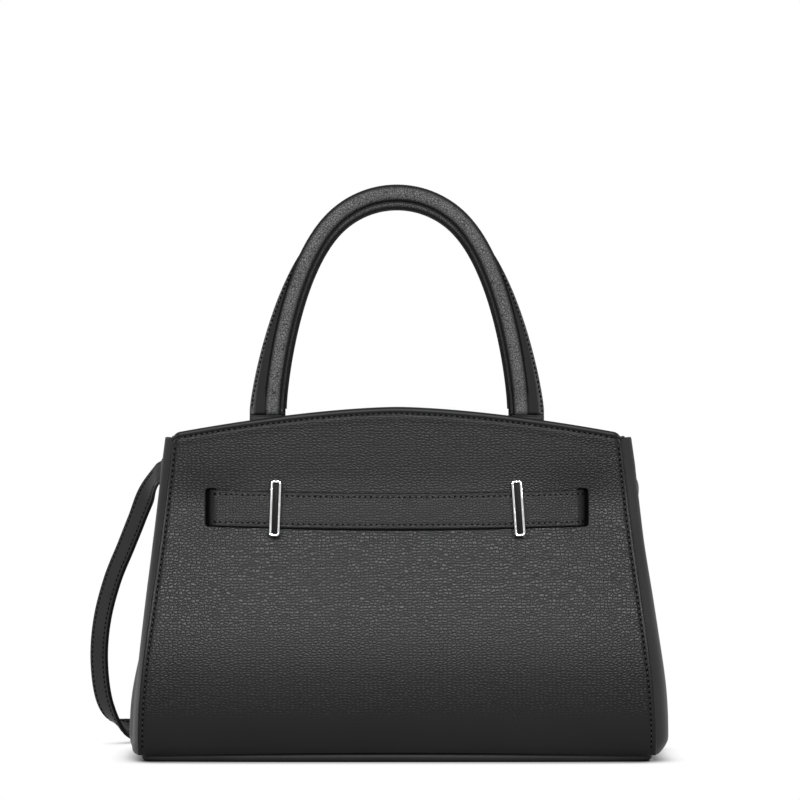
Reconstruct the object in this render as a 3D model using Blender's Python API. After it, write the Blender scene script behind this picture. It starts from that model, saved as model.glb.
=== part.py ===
# Leather handbag with two rolled handles, a belt held by two turning bars, and a shoulder strap.
# The front faces -Y, +X is on the right seen from the front, and the bag stands on z = 0. Metres.

import math

import bmesh
import bpy
import numpy as np
from mathutils import Matrix

# Clearances and overruns
gap = 0.0003
cut_overrun = 0.004

# Body: front and back panels
bottom_half_width = 0.1388
top_half_width = 0.1207
side_bow_width = 0.0023
hem_height = 0.0036
corner_height = 0.1762
crown_rise = 0.0140
crown_height = corner_height + crown_rise
mouth_half_depth = 0.0470
belly_half_depth = 0.0620
belly_height = 0.047
shoulder_height = 0.155
hem_half_depth = 0.0510
side_fall = 0.0040
panel_thickness = 0.0016

# Gussets, folded inwards at the mouth and full at the foot
gusset_thickness = 0.0013
gusset_flange = 0.0100
gusset_bulge_top = 0.0054
gusset_bulge_foot = 0.0062
gusset_heel = 0.0100
gusset_dip = 0.0040
fold_depth = 0.0220
fold_width_share = 0.59
fold_start_share = 0.12

# Base
base_leather = 0.0018
base_rim_height = 0.0055
base_edge_radius = 0.0030
board_thickness = 0.0020

# Lining, facings and pocket
facing_thickness = 0.0012
facing_depth = 0.0240
facing_edge_drop = 0.0006
lining_thickness = 0.0008
lining_inset = 0.0059
lining_side_clearance = 0.0020
pocket_width = 0.150
pocket_height = 0.085
pocket_thickness = 0.0012
pocket_foot_height = 0.045

# Handles
handle_apex_height = 0.3051
handle_arch_radius = 0.0483
handle_arch_half_angle = math.radians(46.0)
handle_foot_half_span = 0.0668
handle_shoulder_reach = 0.036
handle_foot_reach = 0.012
hinge_rise = 0.0124
hinge_height = corner_height + hinge_rise
roll_radius = 0.0047
foot_half_thickness = 0.0027
flat_length = 0.0050
flat_blend = 0.0090
flange_reach = 0.0076
flange_length = 0.0814
flange_start_height = hinge_height + flange_length
flange_half_thickness = 0.0015
seam_half_thickness = 0.0007
core_wall = 0.0017
tab_thickness = 0.0030
tab_depth = 0.0340
tab_margin = 0.0004

# Belt and its slots
belt_width = 0.0193
belt_thickness = 0.0026
belt_drop = 0.0398
belt_height = corner_height - belt_drop
belt_sag_depth = 0.0018
belt_bend_radius = 0.0021
belt_slack = 0.0012
belt_tail = 0.0030
slot_outer_x = 0.1028
slot_width = 0.0050
slot_height = 0.0209
slot_corner_radius = 0.0014

# Turning bars
bar_offset_x = 0.0650
bar_length = 0.0300
bar_width = 0.0057
bar_depth = 0.0026
bar_edge = 0.0006
bar_shank_radius = 0.0010
inlay_margin = 0.0012
inlay_depth = 0.0009
inlay_sink = 0.0001
post_radius = 0.0019
post_flange_radius = 0.0027
post_flange_depth = 0.0008
washer_length = 0.0120
washer_width = 0.0080
washer_thickness = 0.0008
left_bar_lean = math.radians(1.8)
right_bar_lean = math.radians(-3.8)

# Magnetic closure on the facings
magnet_radius = 0.0088
magnet_depth = 0.0022
magnet_rim = 0.0008
magnet_drop = 0.0222
magnet_height = crown_height - magnet_drop
stud_radius = 0.0030
stud_depth = 0.0016

# Side rings and their tabs
ring_drop = 0.0102
ring_height = corner_height - ring_drop
ring_plane_x = 0.1135
ring_radius = 0.0090
ring_wire_radius = 0.0012
side_tab_width = 0.0080
side_tab_thickness = 0.0026
side_tab_foot_depth = 0.0430
side_tab_knee_depth = 0.0290
side_tab_loop_wall = 0.0014
side_tab_clearance = 0.0008

# Snap hooks
left_hook_pitch = math.radians(-22.0)
left_hook_slant = math.radians(35.0)
right_hook_pitch = math.radians(-38.0)
right_hook_slant = math.radians(35.0)
hook_half_width = 0.0039
hook_length = 0.0096
hook_section = 0.0024
hook_breadth = 0.0030
hook_nose_reach = 0.0012
barrel_radius = 0.0026
barrel_length = 0.0030
eye_stem_radius = 0.0008
eye_head_radius = 0.0016
eye_head_depth = 0.0008
eye_wire_radius = 0.0011
eye_depth = 0.0057
gate_section = 0.0018
gate_lug = 0.0024
pin_radius = 0.0005

# Shoulder strap
strap_width = 0.0130
strap_thickness = 0.0024
strap_loop_wall = 0.0015
strap_fold_length = 0.0090
strap_spread_width = 0.1675
strap_reach_length = 0.2900
strap_steps = 4

# Route of the strap, left half from the hook to the middle of the loop behind the bag:
# shares of the spread, of the reach behind the bag, of the rise from the floor to the hook,
# and how far the leather has turned from standing on edge to facing outwards.
left_route_shares = (
    (0.846, 0.158, 0.838, 0.50),
    (0.884, 0.170, 0.750, 0.85),
    (0.917, 0.183, 0.661, 1.00),
    (0.958, 0.197, 0.541, 1.00),
    (0.989, 0.207, 0.401, 1.00),
    (1.000, 0.214, 0.260, 1.00),
    (0.985, 0.224, 0.120, 0.90),
    (0.943, 0.238, 0.034, 0.65),
    (0.884, 0.272, 0.003, 0.30),
    (0.824, 0.345, 0.000, 0.08),
    (0.770, 0.466, 0.000, 0.00),
    (0.675, 0.638, 0.000, 0.00),
    (0.507, 0.810, 0.000, 0.00),
    (0.269, 0.948, 0.000, 0.00),
    (0.000, 1.000, 0.000, 0.00),
)
# The right half, from the middle of the loop up behind the bag to the right hook.
right_route_shares = (
    (0.269, 0.948, 0.000, 0.00),
    (0.507, 0.810, 0.000, 0.00),
    (0.669, 0.655, 0.000, 0.00),
    (0.746, 0.483, 0.000, 0.00),
    (0.765, 0.362, 0.009, 0.10),
    (0.745, 0.293, 0.085, 0.40),
    (0.733, 0.268, 0.250, 0.70),
    (0.725, 0.255, 0.430, 0.95),
    (0.728, 0.236, 0.574, 0.95),
    (0.746, 0.214, 0.665, 0.80),
    (0.778, 0.193, 0.730, 0.60),
    (0.798, 0.160, 0.790, 0.35),
)
left_turned_width_shares = (0.720, -0.694, 0.0)
right_turned_width_shares = (-0.900, -0.436, 0.0)

round_sides = 20
small_sides = 14
handle_steps = 11


def clear_scene():
    for obj in list(bpy.data.objects):
        bpy.data.objects.remove(obj, do_unlink=True)


def material(name, colour, roughness, metallic=0.0):
    mat = bpy.data.materials.new(name)
    mat.use_nodes = True
    shader = mat.node_tree.nodes["Principled BSDF"]
    shader.inputs["Base Color"].default_value = (*colour, 1.0)
    shader.inputs["Roughness"].default_value = roughness
    shader.inputs["Metallic"].default_value = metallic
    return mat


def add_object(name, mesh, mat, parent=None):
    obj = bpy.data.objects.new(name, mesh)
    bpy.context.scene.collection.objects.link(obj)
    obj.data.materials.append(mat)
    obj.parent = parent
    return obj


def solid_mesh(name, points, faces, merge=False):
    """Mesh from points and faces, with every face turned outwards."""
    mesh = bpy.data.meshes.new(name)
    mesh.from_pydata([tuple(p) for p in points], [], faces)
    work = bmesh.new()
    work.from_mesh(mesh)
    if merge:
        bmesh.ops.remove_doubles(work, verts=work.verts, dist=gap / 100)
    bmesh.ops.recalc_face_normals(work, faces=work.faces)
    work.to_mesh(mesh)
    work.free()
    mesh.shade_smooth()
    mesh.set_sharp_from_angle(angle=math.radians(35.0))
    return mesh


def loft(name, loops, mat, parent=None):
    """Closed solid through a list of equal loops, with a cap on the first and the last."""
    count = len(loops[0])
    points = np.concatenate(loops)
    faces = []
    for row in range(len(loops) - 1):
        low = row * count
        for i in range(count):
            j = (i + 1) % count
            faces.append((low + i, low + j, low + count + j, low + count + i))
    faces.append(tuple(range(count)))
    last = (len(loops) - 1) * count
    faces.append(tuple(range(last, last + count)))
    return add_object(name, solid_mesh(name, points, faces), mat, parent)


def ring_loft(name, loops, mat, parent=None):
    """Closed solid through loops that come back to the first one, such as a bent tube's wall."""
    count = len(loops[0])
    points = np.concatenate(loops)
    faces = []
    for row in range(len(loops)):
        low = row * count
        high = ((row + 1) % len(loops)) * count
        for i in range(count):
            j = (i + 1) % count
            faces.append((low + i, low + j, high + j, high + i))
    return add_object(name, solid_mesh(name, points, faces), mat, parent)


def shell(name, outer, inner, mat, parent=None):
    """Closed sheet between two point grids of the same shape."""
    rows, cols = outer.shape[:2]
    points = np.concatenate([outer.reshape(-1, 3), inner.reshape(-1, 3)])
    back = rows * cols
    faces = []
    for r in range(rows - 1):
        for c in range(cols - 1):
            a = r * cols + c
            faces.append((a, a + 1, a + cols + 1, a + cols))
            faces.append((back + a, back + a + cols, back + a + cols + 1, back + a + 1))
    rim = [c for c in range(cols)]
    rim += [r * cols + cols - 1 for r in range(1, rows)]
    rim += [(rows - 1) * cols + c for c in range(cols - 2, -1, -1)]
    rim += [r * cols for r in range(rows - 2, 0, -1)]
    for a, b in zip(rim, rim[1:] + rim[:1]):
        faces.append((a, b, back + b, back + a))
    return add_object(name, solid_mesh(name, points, faces), mat, parent)


def cutter(name, mesh):
    obj = bpy.data.objects.new(name, mesh)
    bpy.context.scene.collection.objects.link(obj)
    obj.hide_render = True
    obj.display_type = "WIRE"
    return obj


def combine(target, tool, operation):
    mod = target.modifiers.new(operation.lower(), "BOOLEAN")
    mod.operation = operation
    mod.solver = "EXACT"
    mod.object = tool


def tool_from(obj):
    obj.hide_render = True
    obj.display_type = "WIRE"
    return obj


def cylinder_mesh(name, radius, low, high, sides=round_sides):
    """Cylinder along Z between two heights."""
    work = bmesh.new()
    bmesh.ops.create_cone(work, cap_ends=True, segments=sides, radius1=radius, radius2=radius,
                          depth=high - low, matrix=Matrix.Translation((0, 0, (high + low) / 2)))
    mesh = bpy.data.meshes.new(name)
    work.to_mesh(mesh)
    work.free()
    return mesh


def turned_mesh(name, profile, sides=round_sides):
    """Profile of (radius, height) points turned about Z; a profile off the axis closes on itself."""
    work = bmesh.new()
    verts = [work.verts.new((radius, 0, height)) for radius, height in profile]
    edges = [work.edges.new(pair) for pair in zip(verts, verts[1:])]
    if profile[0][0] > 0:
        edges.append(work.edges.new((verts[-1], verts[0])))
    bmesh.ops.spin(work, geom=verts + edges, axis=(0, 0, 1), cent=(0, 0, 0), steps=sides,
                   angle=2 * math.pi, use_merge=True)
    bmesh.ops.remove_doubles(work, verts=work.verts, dist=gap / 100)
    bmesh.ops.recalc_face_normals(work, faces=work.faces)
    mesh = bpy.data.meshes.new(name)
    work.to_mesh(mesh)
    work.free()
    mesh.shade_smooth()
    mesh.set_sharp_from_angle(angle=math.radians(35.0))
    return mesh


def box_mesh(name, low, high, edge=0.0):
    work = bmesh.new()
    bmesh.ops.create_cube(work, size=1.0)
    low = np.array(low)
    high = np.array(high)
    for vert in work.verts:
        vert.co = (low + high) / 2 + (high - low) * np.array(vert.co)
    if edge > 0:
        bmesh.ops.bevel(work, geom=work.edges[:], offset=edge, segments=2, affect="EDGES",
                        profile=0.5)
    mesh = bpy.data.meshes.new(name)
    work.to_mesh(mesh)
    work.free()
    return mesh


def smoothstep(t):
    t = np.clip(t, 0.0, 1.0)
    return t * t * (3 - 2 * t)


def empty(name, matrix, parent=None):
    obj = bpy.data.objects.new(name, None)
    bpy.context.scene.collection.objects.link(obj)
    obj.parent = parent
    obj.matrix_local = matrix
    return obj


# The body's shape: u runs across a panel from -1 to 1, v runs from the hem (0) to the top edge (1).


def half_width(v):
    bow = side_bow_width * v * (1 - v) ** 3 * 256 / 27
    return bottom_half_width + (top_half_width - bottom_half_width) * v + bow


def top_height(u):
    return corner_height + crown_rise * (1 - np.abs(u) ** 1.6)


def height_at(u, v):
    return hem_height + v * (top_height(u) - hem_height)


def body_depth(u, z):
    """Half depth of the body: leaning in from belly to shoulder, an ellipse under the belly."""
    above = smoothstep((z - belly_height) / (shoulder_height - belly_height))
    below = np.clip((belly_height - z) / (belly_height - hem_height), 0.0, 1.0)
    lean = (belly_half_depth - mouth_half_depth) * above
    tuck = (belly_half_depth - hem_half_depth) * (1 - np.sqrt(1 - 0.96 * below * below))
    return belly_half_depth - lean - tuck - side_fall * np.abs(u) ** 4


def panel_points(u, v, inset, side):
    """Points of a panel's layer, inset from the leather's face, on the front (-1) or the back (1)."""
    x = u * half_width(v)
    z = height_at(u, v)
    y = side * (body_depth(u, z) - inset)
    return np.stack([x, y, z], axis=-1)


def depth_at(x, z):
    v = (z - hem_height) / (crown_height - hem_height)
    return body_depth(x / half_width(v), z)


def panel_sheet(name, side, inset, thickness, u_span, v_span, counts, mat):
    u, v = np.meshgrid(np.linspace(*u_span, counts[0]), v_span(np.linspace(0, 1, counts[1])))
    outer = panel_points(u, v, inset, side)
    inner = panel_points(u, v, inset + thickness, side)
    return shell(name, outer, inner, mat)


def v_of(z, u):
    return (z - hem_height) / (top_height(u) - hem_height)


def make_panel(name, side, mat):
    return panel_sheet(name, side, 0, panel_thickness, (-1, 1), lambda w: w ** 1.3, (17, 21), mat)


def side_x(s, v):
    """Outer face of a gusset, with s running from the front (-1) to the back (1)."""
    rise = v * (corner_height - hem_height)
    heel = np.clip(rise / gusset_heel, 0.0, 1.0)
    full = gusset_bulge_foot + (gusset_bulge_top - gusset_bulge_foot) * v
    bulge = full * (0.25 + 0.75 * np.sqrt(1 - (1 - heel) ** 2)) * (1 - s ** 8)
    depth = fold_depth * smoothstep((v - fold_start_share) / (0.95 - fold_start_share))
    fold = depth * np.exp(-(np.abs(s) / fold_width_share) ** 3)
    return half_width(v) + bulge - fold


def side_points(s, v, side, inset):
    z = hem_height + v * (corner_height - gusset_dip * (1 - s * s) - hem_height)
    reach = body_depth(1.0, z) - panel_thickness - gap - inset
    x = side * (side_x(s, v) - inset)
    return np.stack([x, s * reach, z], axis=-1)


def make_gusset(name, side, mat):
    """C-shaped strip: a flange behind each panel edge, and the folded side between them."""
    v = np.linspace(0, 1, 18) ** 1.3
    across = np.sin(np.linspace(-1, 1, 15) * math.pi / 2) * 0.5 + np.linspace(-1, 1, 15) * 0.5
    s, rows = np.meshgrid(across, v)
    outer = side_points(s, rows, side, 0)
    inner = side_points(s, rows, side, gusset_thickness)
    grids = []
    for grid, inset in ((outer, 0.0), (inner, gusset_thickness)):
        front = grid[:, :1].copy()
        back = grid[:, -1:].copy()
        for flange, end in ((front, -1), (back, 1)):
            flange[..., 0] -= side * (gusset_flange - inset)
            share = 1 - gusset_flange / bottom_half_width
            reach = body_depth(share, flange[..., 2]) - panel_thickness - gap - inset
            flange[..., 1] = end * reach
        grids.append(np.concatenate([front, grid, back], axis=1))
    return shell(name, grids[0], grids[1], mat)


def rounded_rectangle(half_x, half_y, radius, z, corner_steps=4):
    points = []
    for corner in range(4):
        sx = (1, -1, -1, 1)[corner]
        sy = (1, 1, -1, -1)[corner]
        for step in range(corner_steps + 1):
            angle = (corner + step / corner_steps) * math.pi / 2
            points.append((sx * (half_x - radius) + radius * math.cos(angle),
                           sy * (half_y - radius) + radius * math.sin(angle), z))
    return np.array(points)


def base_half_size():
    """Outer half size of the base tray at its ends, inside the gussets' flanges."""
    layers = panel_thickness + gap + gusset_thickness + gap
    half_y = float(body_depth(1.0, hem_height)) - layers
    half_x = half_width(base_rim_height / corner_height) - gusset_thickness - gap
    return half_x, half_y


def base_loop(inset, z):
    """Outline of the base, bowed outwards at the front and the back like the panels."""
    half_x, half_y = base_half_size()
    corner = base_edge_radius + base_leather
    loop = rounded_rectangle(half_x - inset, half_y - inset, corner, z)
    mid = np.linspace(1, -1, 9)[1:-1] * (half_x - inset - corner)
    back = np.stack([mid, np.full(7, half_y - inset), np.full(7, z)], axis=-1)
    loop = np.concatenate([loop[:5], back, loop[5:15], -back * (1, 1, -1), loop[15:]])
    loop[:, 1] += np.sign(loop[:, 1]) * side_fall * (1 - np.abs(loop[:, 0] / half_x) ** 4)
    return loop


def make_base(leather, board):
    loops = []
    for step in range(4):
        angle = step / 3 * math.pi / 2
        inset = base_edge_radius * (1 - math.sin(angle))
        loops.append(base_loop(inset, base_edge_radius * (1 - math.cos(angle))))
    loops.append(base_loop(0, base_rim_height))
    loops.append(base_loop(base_leather, base_rim_height))
    loops.append(base_loop(base_leather, base_edge_radius + base_leather / 2))
    loops.append(base_loop(base_leather * 2, base_leather))
    loft("base_panel", loops, leather)
    low = base_leather + gap
    loft("base_board", [base_loop(base_leather * 2 + gap, z)
                        for z in (low, low + board_thickness)], board)


def lining_loop(z, layer):
    """Plan outline of the lining at one height: straight at front and back, folded at the sides."""
    reach = float(body_depth(0.8, z)) - lining_inset - layer
    side_reach = float(body_depth(1.0, z)) - panel_thickness - gap - gusset_thickness
    half_x, half_y = base_half_size()
    tray_inset = base_leather + gap + layer + 0.36 * (base_edge_radius + base_leather)
    if z < base_rim_height + gap:
        reach = half_y - tray_inset
    y = np.linspace(-1, 1, 13) * reach
    s = np.clip(y / side_reach, -1, 1)
    v = (z - hem_height) / (corner_height - gusset_dip * (1 - s * s) - hem_height)
    x = side_x(s, v) - gusset_thickness - lining_side_clearance - layer
    if z < base_rim_height + gap:
        x = np.minimum(x, half_x - tray_inset)
    right = np.stack([x, y, np.full_like(x, z)], axis=-1)
    left = right[::-1] * (-1, 1, 1)
    mid = np.linspace(-1, 1, 6)[1:-1] * x[0]
    back = np.stack([-mid, np.full(4, reach), np.full(4, z)], axis=-1)
    return np.concatenate([right, back, left, back * (-1, -1, 1)])


def lining_top():
    return corner_height - facing_depth - gap


def make_lining(mat):
    floor = base_leather + gap + board_thickness + gap
    rise = base_rim_height + gap - floor
    levels = floor + (lining_top() - floor) * np.linspace(0, 1, 7) ** 1.2
    levels = np.concatenate([[floor, floor + rise * 0.9], levels[1:]])
    outer = [lining_loop(z, 0) for z in levels]
    inner = [lining_loop(z, lining_thickness) for z in levels[:0:-1]]
    last = lining_loop(floor + lining_thickness, lining_thickness)
    return loft("lining", outer + inner + [last], mat)


def make_pocket(mat):
    """Slip pocket sewn to the back wall of the lining."""
    u, v = np.meshgrid(np.linspace(-1, 1, 5), np.linspace(0, 1, 5))
    x = u * pocket_width / 2
    z = pocket_foot_height + v * pocket_height
    reach = body_depth(0.8, z) - lining_inset - lining_thickness - gap
    outer = np.stack([x, reach, z], axis=-1)
    inner = outer - np.array((0, pocket_thickness, 0))
    return shell("inner_pocket", outer, inner, mat)


def make_facing(name, side, mat):
    """Leather band inside the mouth, hanging from just under the panel's top edge."""
    span = 1 - (gusset_flange + 4 * gap) / top_half_width
    u, w = np.meshgrid(np.linspace(-span, span, 17), np.linspace(0, 1, 5))
    high = top_height(u) - facing_edge_drop
    low = corner_height - facing_depth
    v = v_of(low + w * (high - low), u)
    inset = panel_thickness + gap
    outer = panel_points(u, v, inset, side)
    inner = panel_points(u, v, inset + facing_thickness, side)
    return shell(name, outer, inner, mat)


# Handles


def handle_plane():
    """Distance of the handles' plane from the middle of the bag."""
    layers = panel_thickness + gap + facing_thickness + gap + tab_thickness / 2
    return float(depth_at(handle_foot_half_span, hinge_height)) - layers


def arch_half():
    """Half of the arch from the apex to the hinge: an arc, then a Bezier curve that ends upright."""
    centre = handle_apex_height - handle_arch_radius
    arc = np.linspace(0, handle_arch_half_angle, handle_steps // 2 + 1)
    x = handle_arch_radius * np.sin(arc)
    z = centre + handle_arch_radius * np.cos(arc)
    end = np.array((x[-1], z[-1]))
    along = np.array((math.cos(arc[-1]), -math.sin(arc[-1])))
    foot = np.array((handle_foot_half_span, hinge_height))
    knots = (end, end + handle_shoulder_reach * along, foot + (0, handle_foot_reach), foot)
    t = (np.linspace(0, 1, handle_steps + 1) ** 0.8)[1:, None]
    curve = ((1 - t) ** 3 * knots[0] + 3 * t * (1 - t) ** 2 * knots[1]
             + 3 * t * t * (1 - t) * knots[2] + t ** 3 * knots[3])
    return np.concatenate([np.stack([x, z], axis=-1), curve])


def roll_outline(height, drop, wall):
    """Section of the leather roll: a round body, flattened at the foot, and a sewn outer flange."""
    rise = max(0.0, height - hinge_height)
    blend = float(smoothstep((rise - flat_length) / flat_blend))
    thick = foot_half_thickness + (roll_radius - foot_half_thickness) * blend
    if drop > 0:
        thick = math.sqrt(max(0.0, foot_half_thickness ** 2 - drop ** 2))
    grow = max(0.0, (flange_start_height - height) / (flange_start_height - hinge_height))
    reach = flange_reach * min(1.0, grow) ** 0.85
    edge = seam_half_thickness + (flange_half_thickness - seam_half_thickness) * min(1.0, 4 * grow)
    edge = min(edge, thick * 0.7)
    start = math.asin(edge / thick)
    upper = [(roll_radius + reach, edge), (roll_radius * math.cos(start), edge)]
    for step in range(1, 6):
        angle = start + (math.pi - start) * step / 6
        upper.append((roll_radius * math.cos(angle), thick * math.sin(angle)))
    outline = upper + [(-roll_radius, 0.0)] + [(a, -b) for a, b in reversed(upper)]
    bore = []
    turns = len(outline)
    for step in range(turns):
        angle = start + 2 * (math.pi - start) * (step - 1) / (turns - 3)
        if step in (0, turns - 1):
            angle = 0.25 * start if step == 0 else -0.25 * start
        bore.append(((roll_radius - wall) * math.cos(angle),
                     max(thick - wall, thick * 0.42) * math.sin(angle)))
    return np.array(outline), np.array(bore), thick


def make_handle(name, side, leather, cord, parent):
    """Leather sleeve with a cord core, from one hinge over the arch to the other."""
    half = arch_half()
    left = half[:0:-1] * np.array((-1, 1))
    path = np.concatenate([left, half])
    drops = foot_half_thickness * np.sin(np.radians((35.0, 60.0)))
    tail = np.array([(handle_foot_half_span, hinge_height - d) for d in drops])
    path = np.concatenate([tail[::-1] * np.array((-1, 1)), path, tail])
    drop = np.zeros(len(path))
    drop[:2] = drops[::-1]
    drop[-2:] = drops
    tangent = np.gradient(path, axis=0)
    tangent[:3] = (0, 1)
    tangent[-3:] = (0, -1)
    tangent /= np.linalg.norm(tangent, axis=1)[:, None]
    outer = []
    bore = []
    core = []
    for point, along, low in zip(path, tangent, drop):
        outline, hole, thick = roll_outline(point[1], low, core_wall)
        normal = np.array((-along[1], along[0]))
        if abs(point[0]) > 0 and normal @ (point - (0, hinge_height)) < 0:
            normal = -normal
        if abs(point[0]) < gap and normal[1] < 0:
            normal = -normal
        for section, rows in ((outline, outer), (hole, bore)):
            xz = point + section[:, :1] * normal
            rows.append(np.stack([xz[:, 0], section[:, 1], xz[:, 1]], axis=-1))
        turn = np.arange(10) * 2 * math.pi / 10
        wide = roll_radius - core_wall - gap
        xz = point + (wide * np.cos(turn))[:, None] * normal * 0.94
        slim = (max(thick - core_wall, thick * 0.42) - gap) * 0.92
        core.append(np.stack([xz[:, 0], slim * np.sin(turn), xz[:, 1]], axis=-1))
    sleeve = ring_loft(name, outer + bore[::-1], leather, parent)
    inner = loft(name + "_core", core, cord, parent)
    lift = Matrix.Translation((0, 0, -hinge_height))
    for obj in (sleeve, inner):
        obj.data.transform(lift)
    return sleeve


def make_handle_tab(name, side, end, mat):
    """Flat foot of a handle, sewn to the inner face of the facing below the hinge."""
    inner_x = handle_foot_half_span - roll_radius + tab_margin
    outer_x = handle_foot_half_span + roll_radius + flange_reach - tab_margin
    top = hinge_height - foot_half_thickness - gap
    x, z = np.meshgrid(np.linspace(inner_x, outer_x, 4), np.linspace(top - tab_depth, top, 5))
    inset = panel_thickness + gap + facing_thickness + gap
    reach = depth_at(x, z) - inset
    outer = np.stack([end * x, side * reach, z], axis=-1)
    inner = np.stack([end * x, side * (reach - tab_thickness), z], axis=-1)
    return shell(name, outer, inner, mat)


# Belt and turning bars


def belt_height_at(x):
    """Height of the belt's middle line, which sags a little between the slots."""
    return belt_height - belt_sag_depth * (1 - (x / slot_outer_x) ** 2)


def belt_surface(offset_x, reach, z):
    return np.stack([offset_x, -(depth_at(offset_x, z) + reach), z], axis=-1)


def make_belt(mat):
    """Strap along the front, bent back through a slot at each end."""
    bend_x = slot_outer_x - slot_width + gap + belt_thickness / 2 - belt_bend_radius
    centre = gap + belt_thickness / 2
    sag = belt_slack
    runs = np.linspace(-bend_x, bend_x, 25)
    between = np.clip(1 - np.abs(runs) / bar_offset_x, 0, 1)
    line = [(x, centre + sag * math.sin(math.pi / 2 * w), 0.0, 1.0) for x, w in zip(runs, between)]
    bend = []
    for step in range(1, 5):
        angle = step / 4 * math.pi / 2
        bend.append((bend_x + belt_bend_radius * math.sin(angle),
                     centre - belt_bend_radius * (1 - math.cos(angle)),
                     math.sin(angle), math.cos(angle)))
    end_x = bend_x + belt_bend_radius
    bend.append((end_x, -panel_thickness - belt_tail, 1.0, 0.0))
    left = [(-x, y, -nx, ny) for x, y, nx, ny in reversed(bend)]
    stations = np.array(left + line + bend)
    spread = np.linspace(-0.5, 0.5, 4) * belt_width
    outer = []
    inner = []
    for x, reach, across, out in stations:
        z = belt_height_at(x) + spread
        for rows, sign in ((outer, 0.5), (inner, -0.5)):
            shift = sign * belt_thickness
            rows.append(belt_surface(np.full(4, x + across * shift), reach + out * shift, z))
    belt = shell("belt", np.array(outer), np.array(inner), mat)
    for end in (-1, 1):
        combine(belt, bar_hole("belt_hole", end), "DIFFERENCE")
    return belt


def bar_frame(end):
    """Place of a turning bar: origin on the leather's face, -Y pointing straight out of it."""
    height = belt_height_at(bar_offset_x)
    depth = float(depth_at(bar_offset_x, height))
    ahead = float(depth_at(bar_offset_x, height + belt_width / 2))
    behind = float(depth_at(bar_offset_x, height - belt_width / 2))
    tilt = math.atan2(behind - ahead, belt_width)
    place = Matrix.Translation((end * bar_offset_x, -depth, height))
    return place @ Matrix.Rotation(-tilt, 4, "X")


def out_axis():
    """Turns a shape drawn along +Z to stand along -Y."""
    return Matrix.Rotation(math.radians(90.0), 4, "X")


def bar_hole(name, end):
    mesh = cylinder_mesh(name, post_radius + gap, -cut_overrun * 2, cut_overrun * 2, small_sides)
    hole = cutter(name, mesh)
    hole.matrix_world = bar_frame(end) @ out_axis()
    return hole


def cut_slots(panel):
    for end in (-1, 1):
        outer = end * slot_outer_x
        inner = end * (slot_outer_x - slot_width)
        centre = (outer + inner) / 2
        loop = rounded_rectangle(slot_width / 2, slot_height / 2, slot_corner_radius, 0.0, 3)
        depth = float(depth_at(slot_outer_x, belt_height))
        loops = []
        for y in (-depth - cut_overrun, -depth + panel_thickness + cut_overrun):
            loops.append(np.stack([centre + loop[:, 0], np.full(len(loop), y),
                                   belt_height + loop[:, 1]], axis=-1))
        tool = loft("slot_cutter", loops, bpy.data.materials[0])
        combine(panel, tool_from(tool), "DIFFERENCE")
        combine(panel, bar_hole("panel_hole", end), "DIFFERENCE")


def make_bar(side_name, end, lean, steel, enamel):
    """Turning bar on a tubular post that clamps the belt and the panel."""
    frame = bar_frame(end)
    face = gap + belt_thickness + gap
    flange_top = face + post_flange_depth
    inside = -panel_thickness - gap
    foot = inside - washer_thickness - gap
    foot_end = foot - post_flange_depth
    bore = bar_shank_radius + gap
    profile = [(bore, flange_top), (post_flange_radius, flange_top), (post_flange_radius, face),
               (post_radius, face), (post_radius, foot), (post_flange_radius, foot),
               (post_flange_radius, foot_end), (bore, foot_end)]
    post = add_object(side_name + "_bar_post", turned_mesh("post", profile, small_sides), steel)
    post.matrix_world = frame @ out_axis()
    washer = add_object(side_name + "_bar_washer",
                        box_mesh("washer", (-washer_width / 2, -washer_length / 2,
                                            inside - washer_thickness),
                                 (washer_width / 2, washer_length / 2, inside)), steel)
    washer.matrix_world = frame @ out_axis()
    hole = cutter("washer_hole", cylinder_mesh("hole", post_radius + gap, foot - cut_overrun,
                                               face, small_sides))
    hole.matrix_world = frame @ out_axis()
    combine(washer, hole, "DIFFERENCE")

    pivot = empty(side_name + "_bar_pivot", frame @ Matrix.Rotation(lean, 4, "Y"))
    low = flange_top + gap
    high = low + bar_depth
    bar = add_object(side_name + "_bar", box_mesh("bar", (-bar_width / 2, -high, -bar_length / 2),
                                                  (bar_width / 2, -low, bar_length / 2), bar_edge),
                     steel, pivot)
    half_w = bar_width / 2 - inlay_margin
    half_l = bar_length / 2 - inlay_margin
    recess = cutter("bar_recess", box_mesh("recess", (-half_w - gap, -high - cut_overrun,
                                                      -half_l - gap),
                                           (half_w + gap, -high + inlay_depth + gap, half_l + gap)))
    recess.parent = pivot
    combine(bar, recess, "DIFFERENCE")
    shank = cutter("bar_shank", cylinder_mesh("shank", bar_shank_radius, foot_end,
                                              low + bar_edge, small_sides))
    shank.parent = pivot
    shank.matrix_local = out_axis()
    combine(bar, shank, "UNION")
    add_object(side_name + "_bar_inlay",
               box_mesh("inlay", (-half_w, -high + inlay_sink, -half_l),
                        (half_w, -high + inlay_depth, half_l)), enamel, pivot)


# Closure


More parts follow.
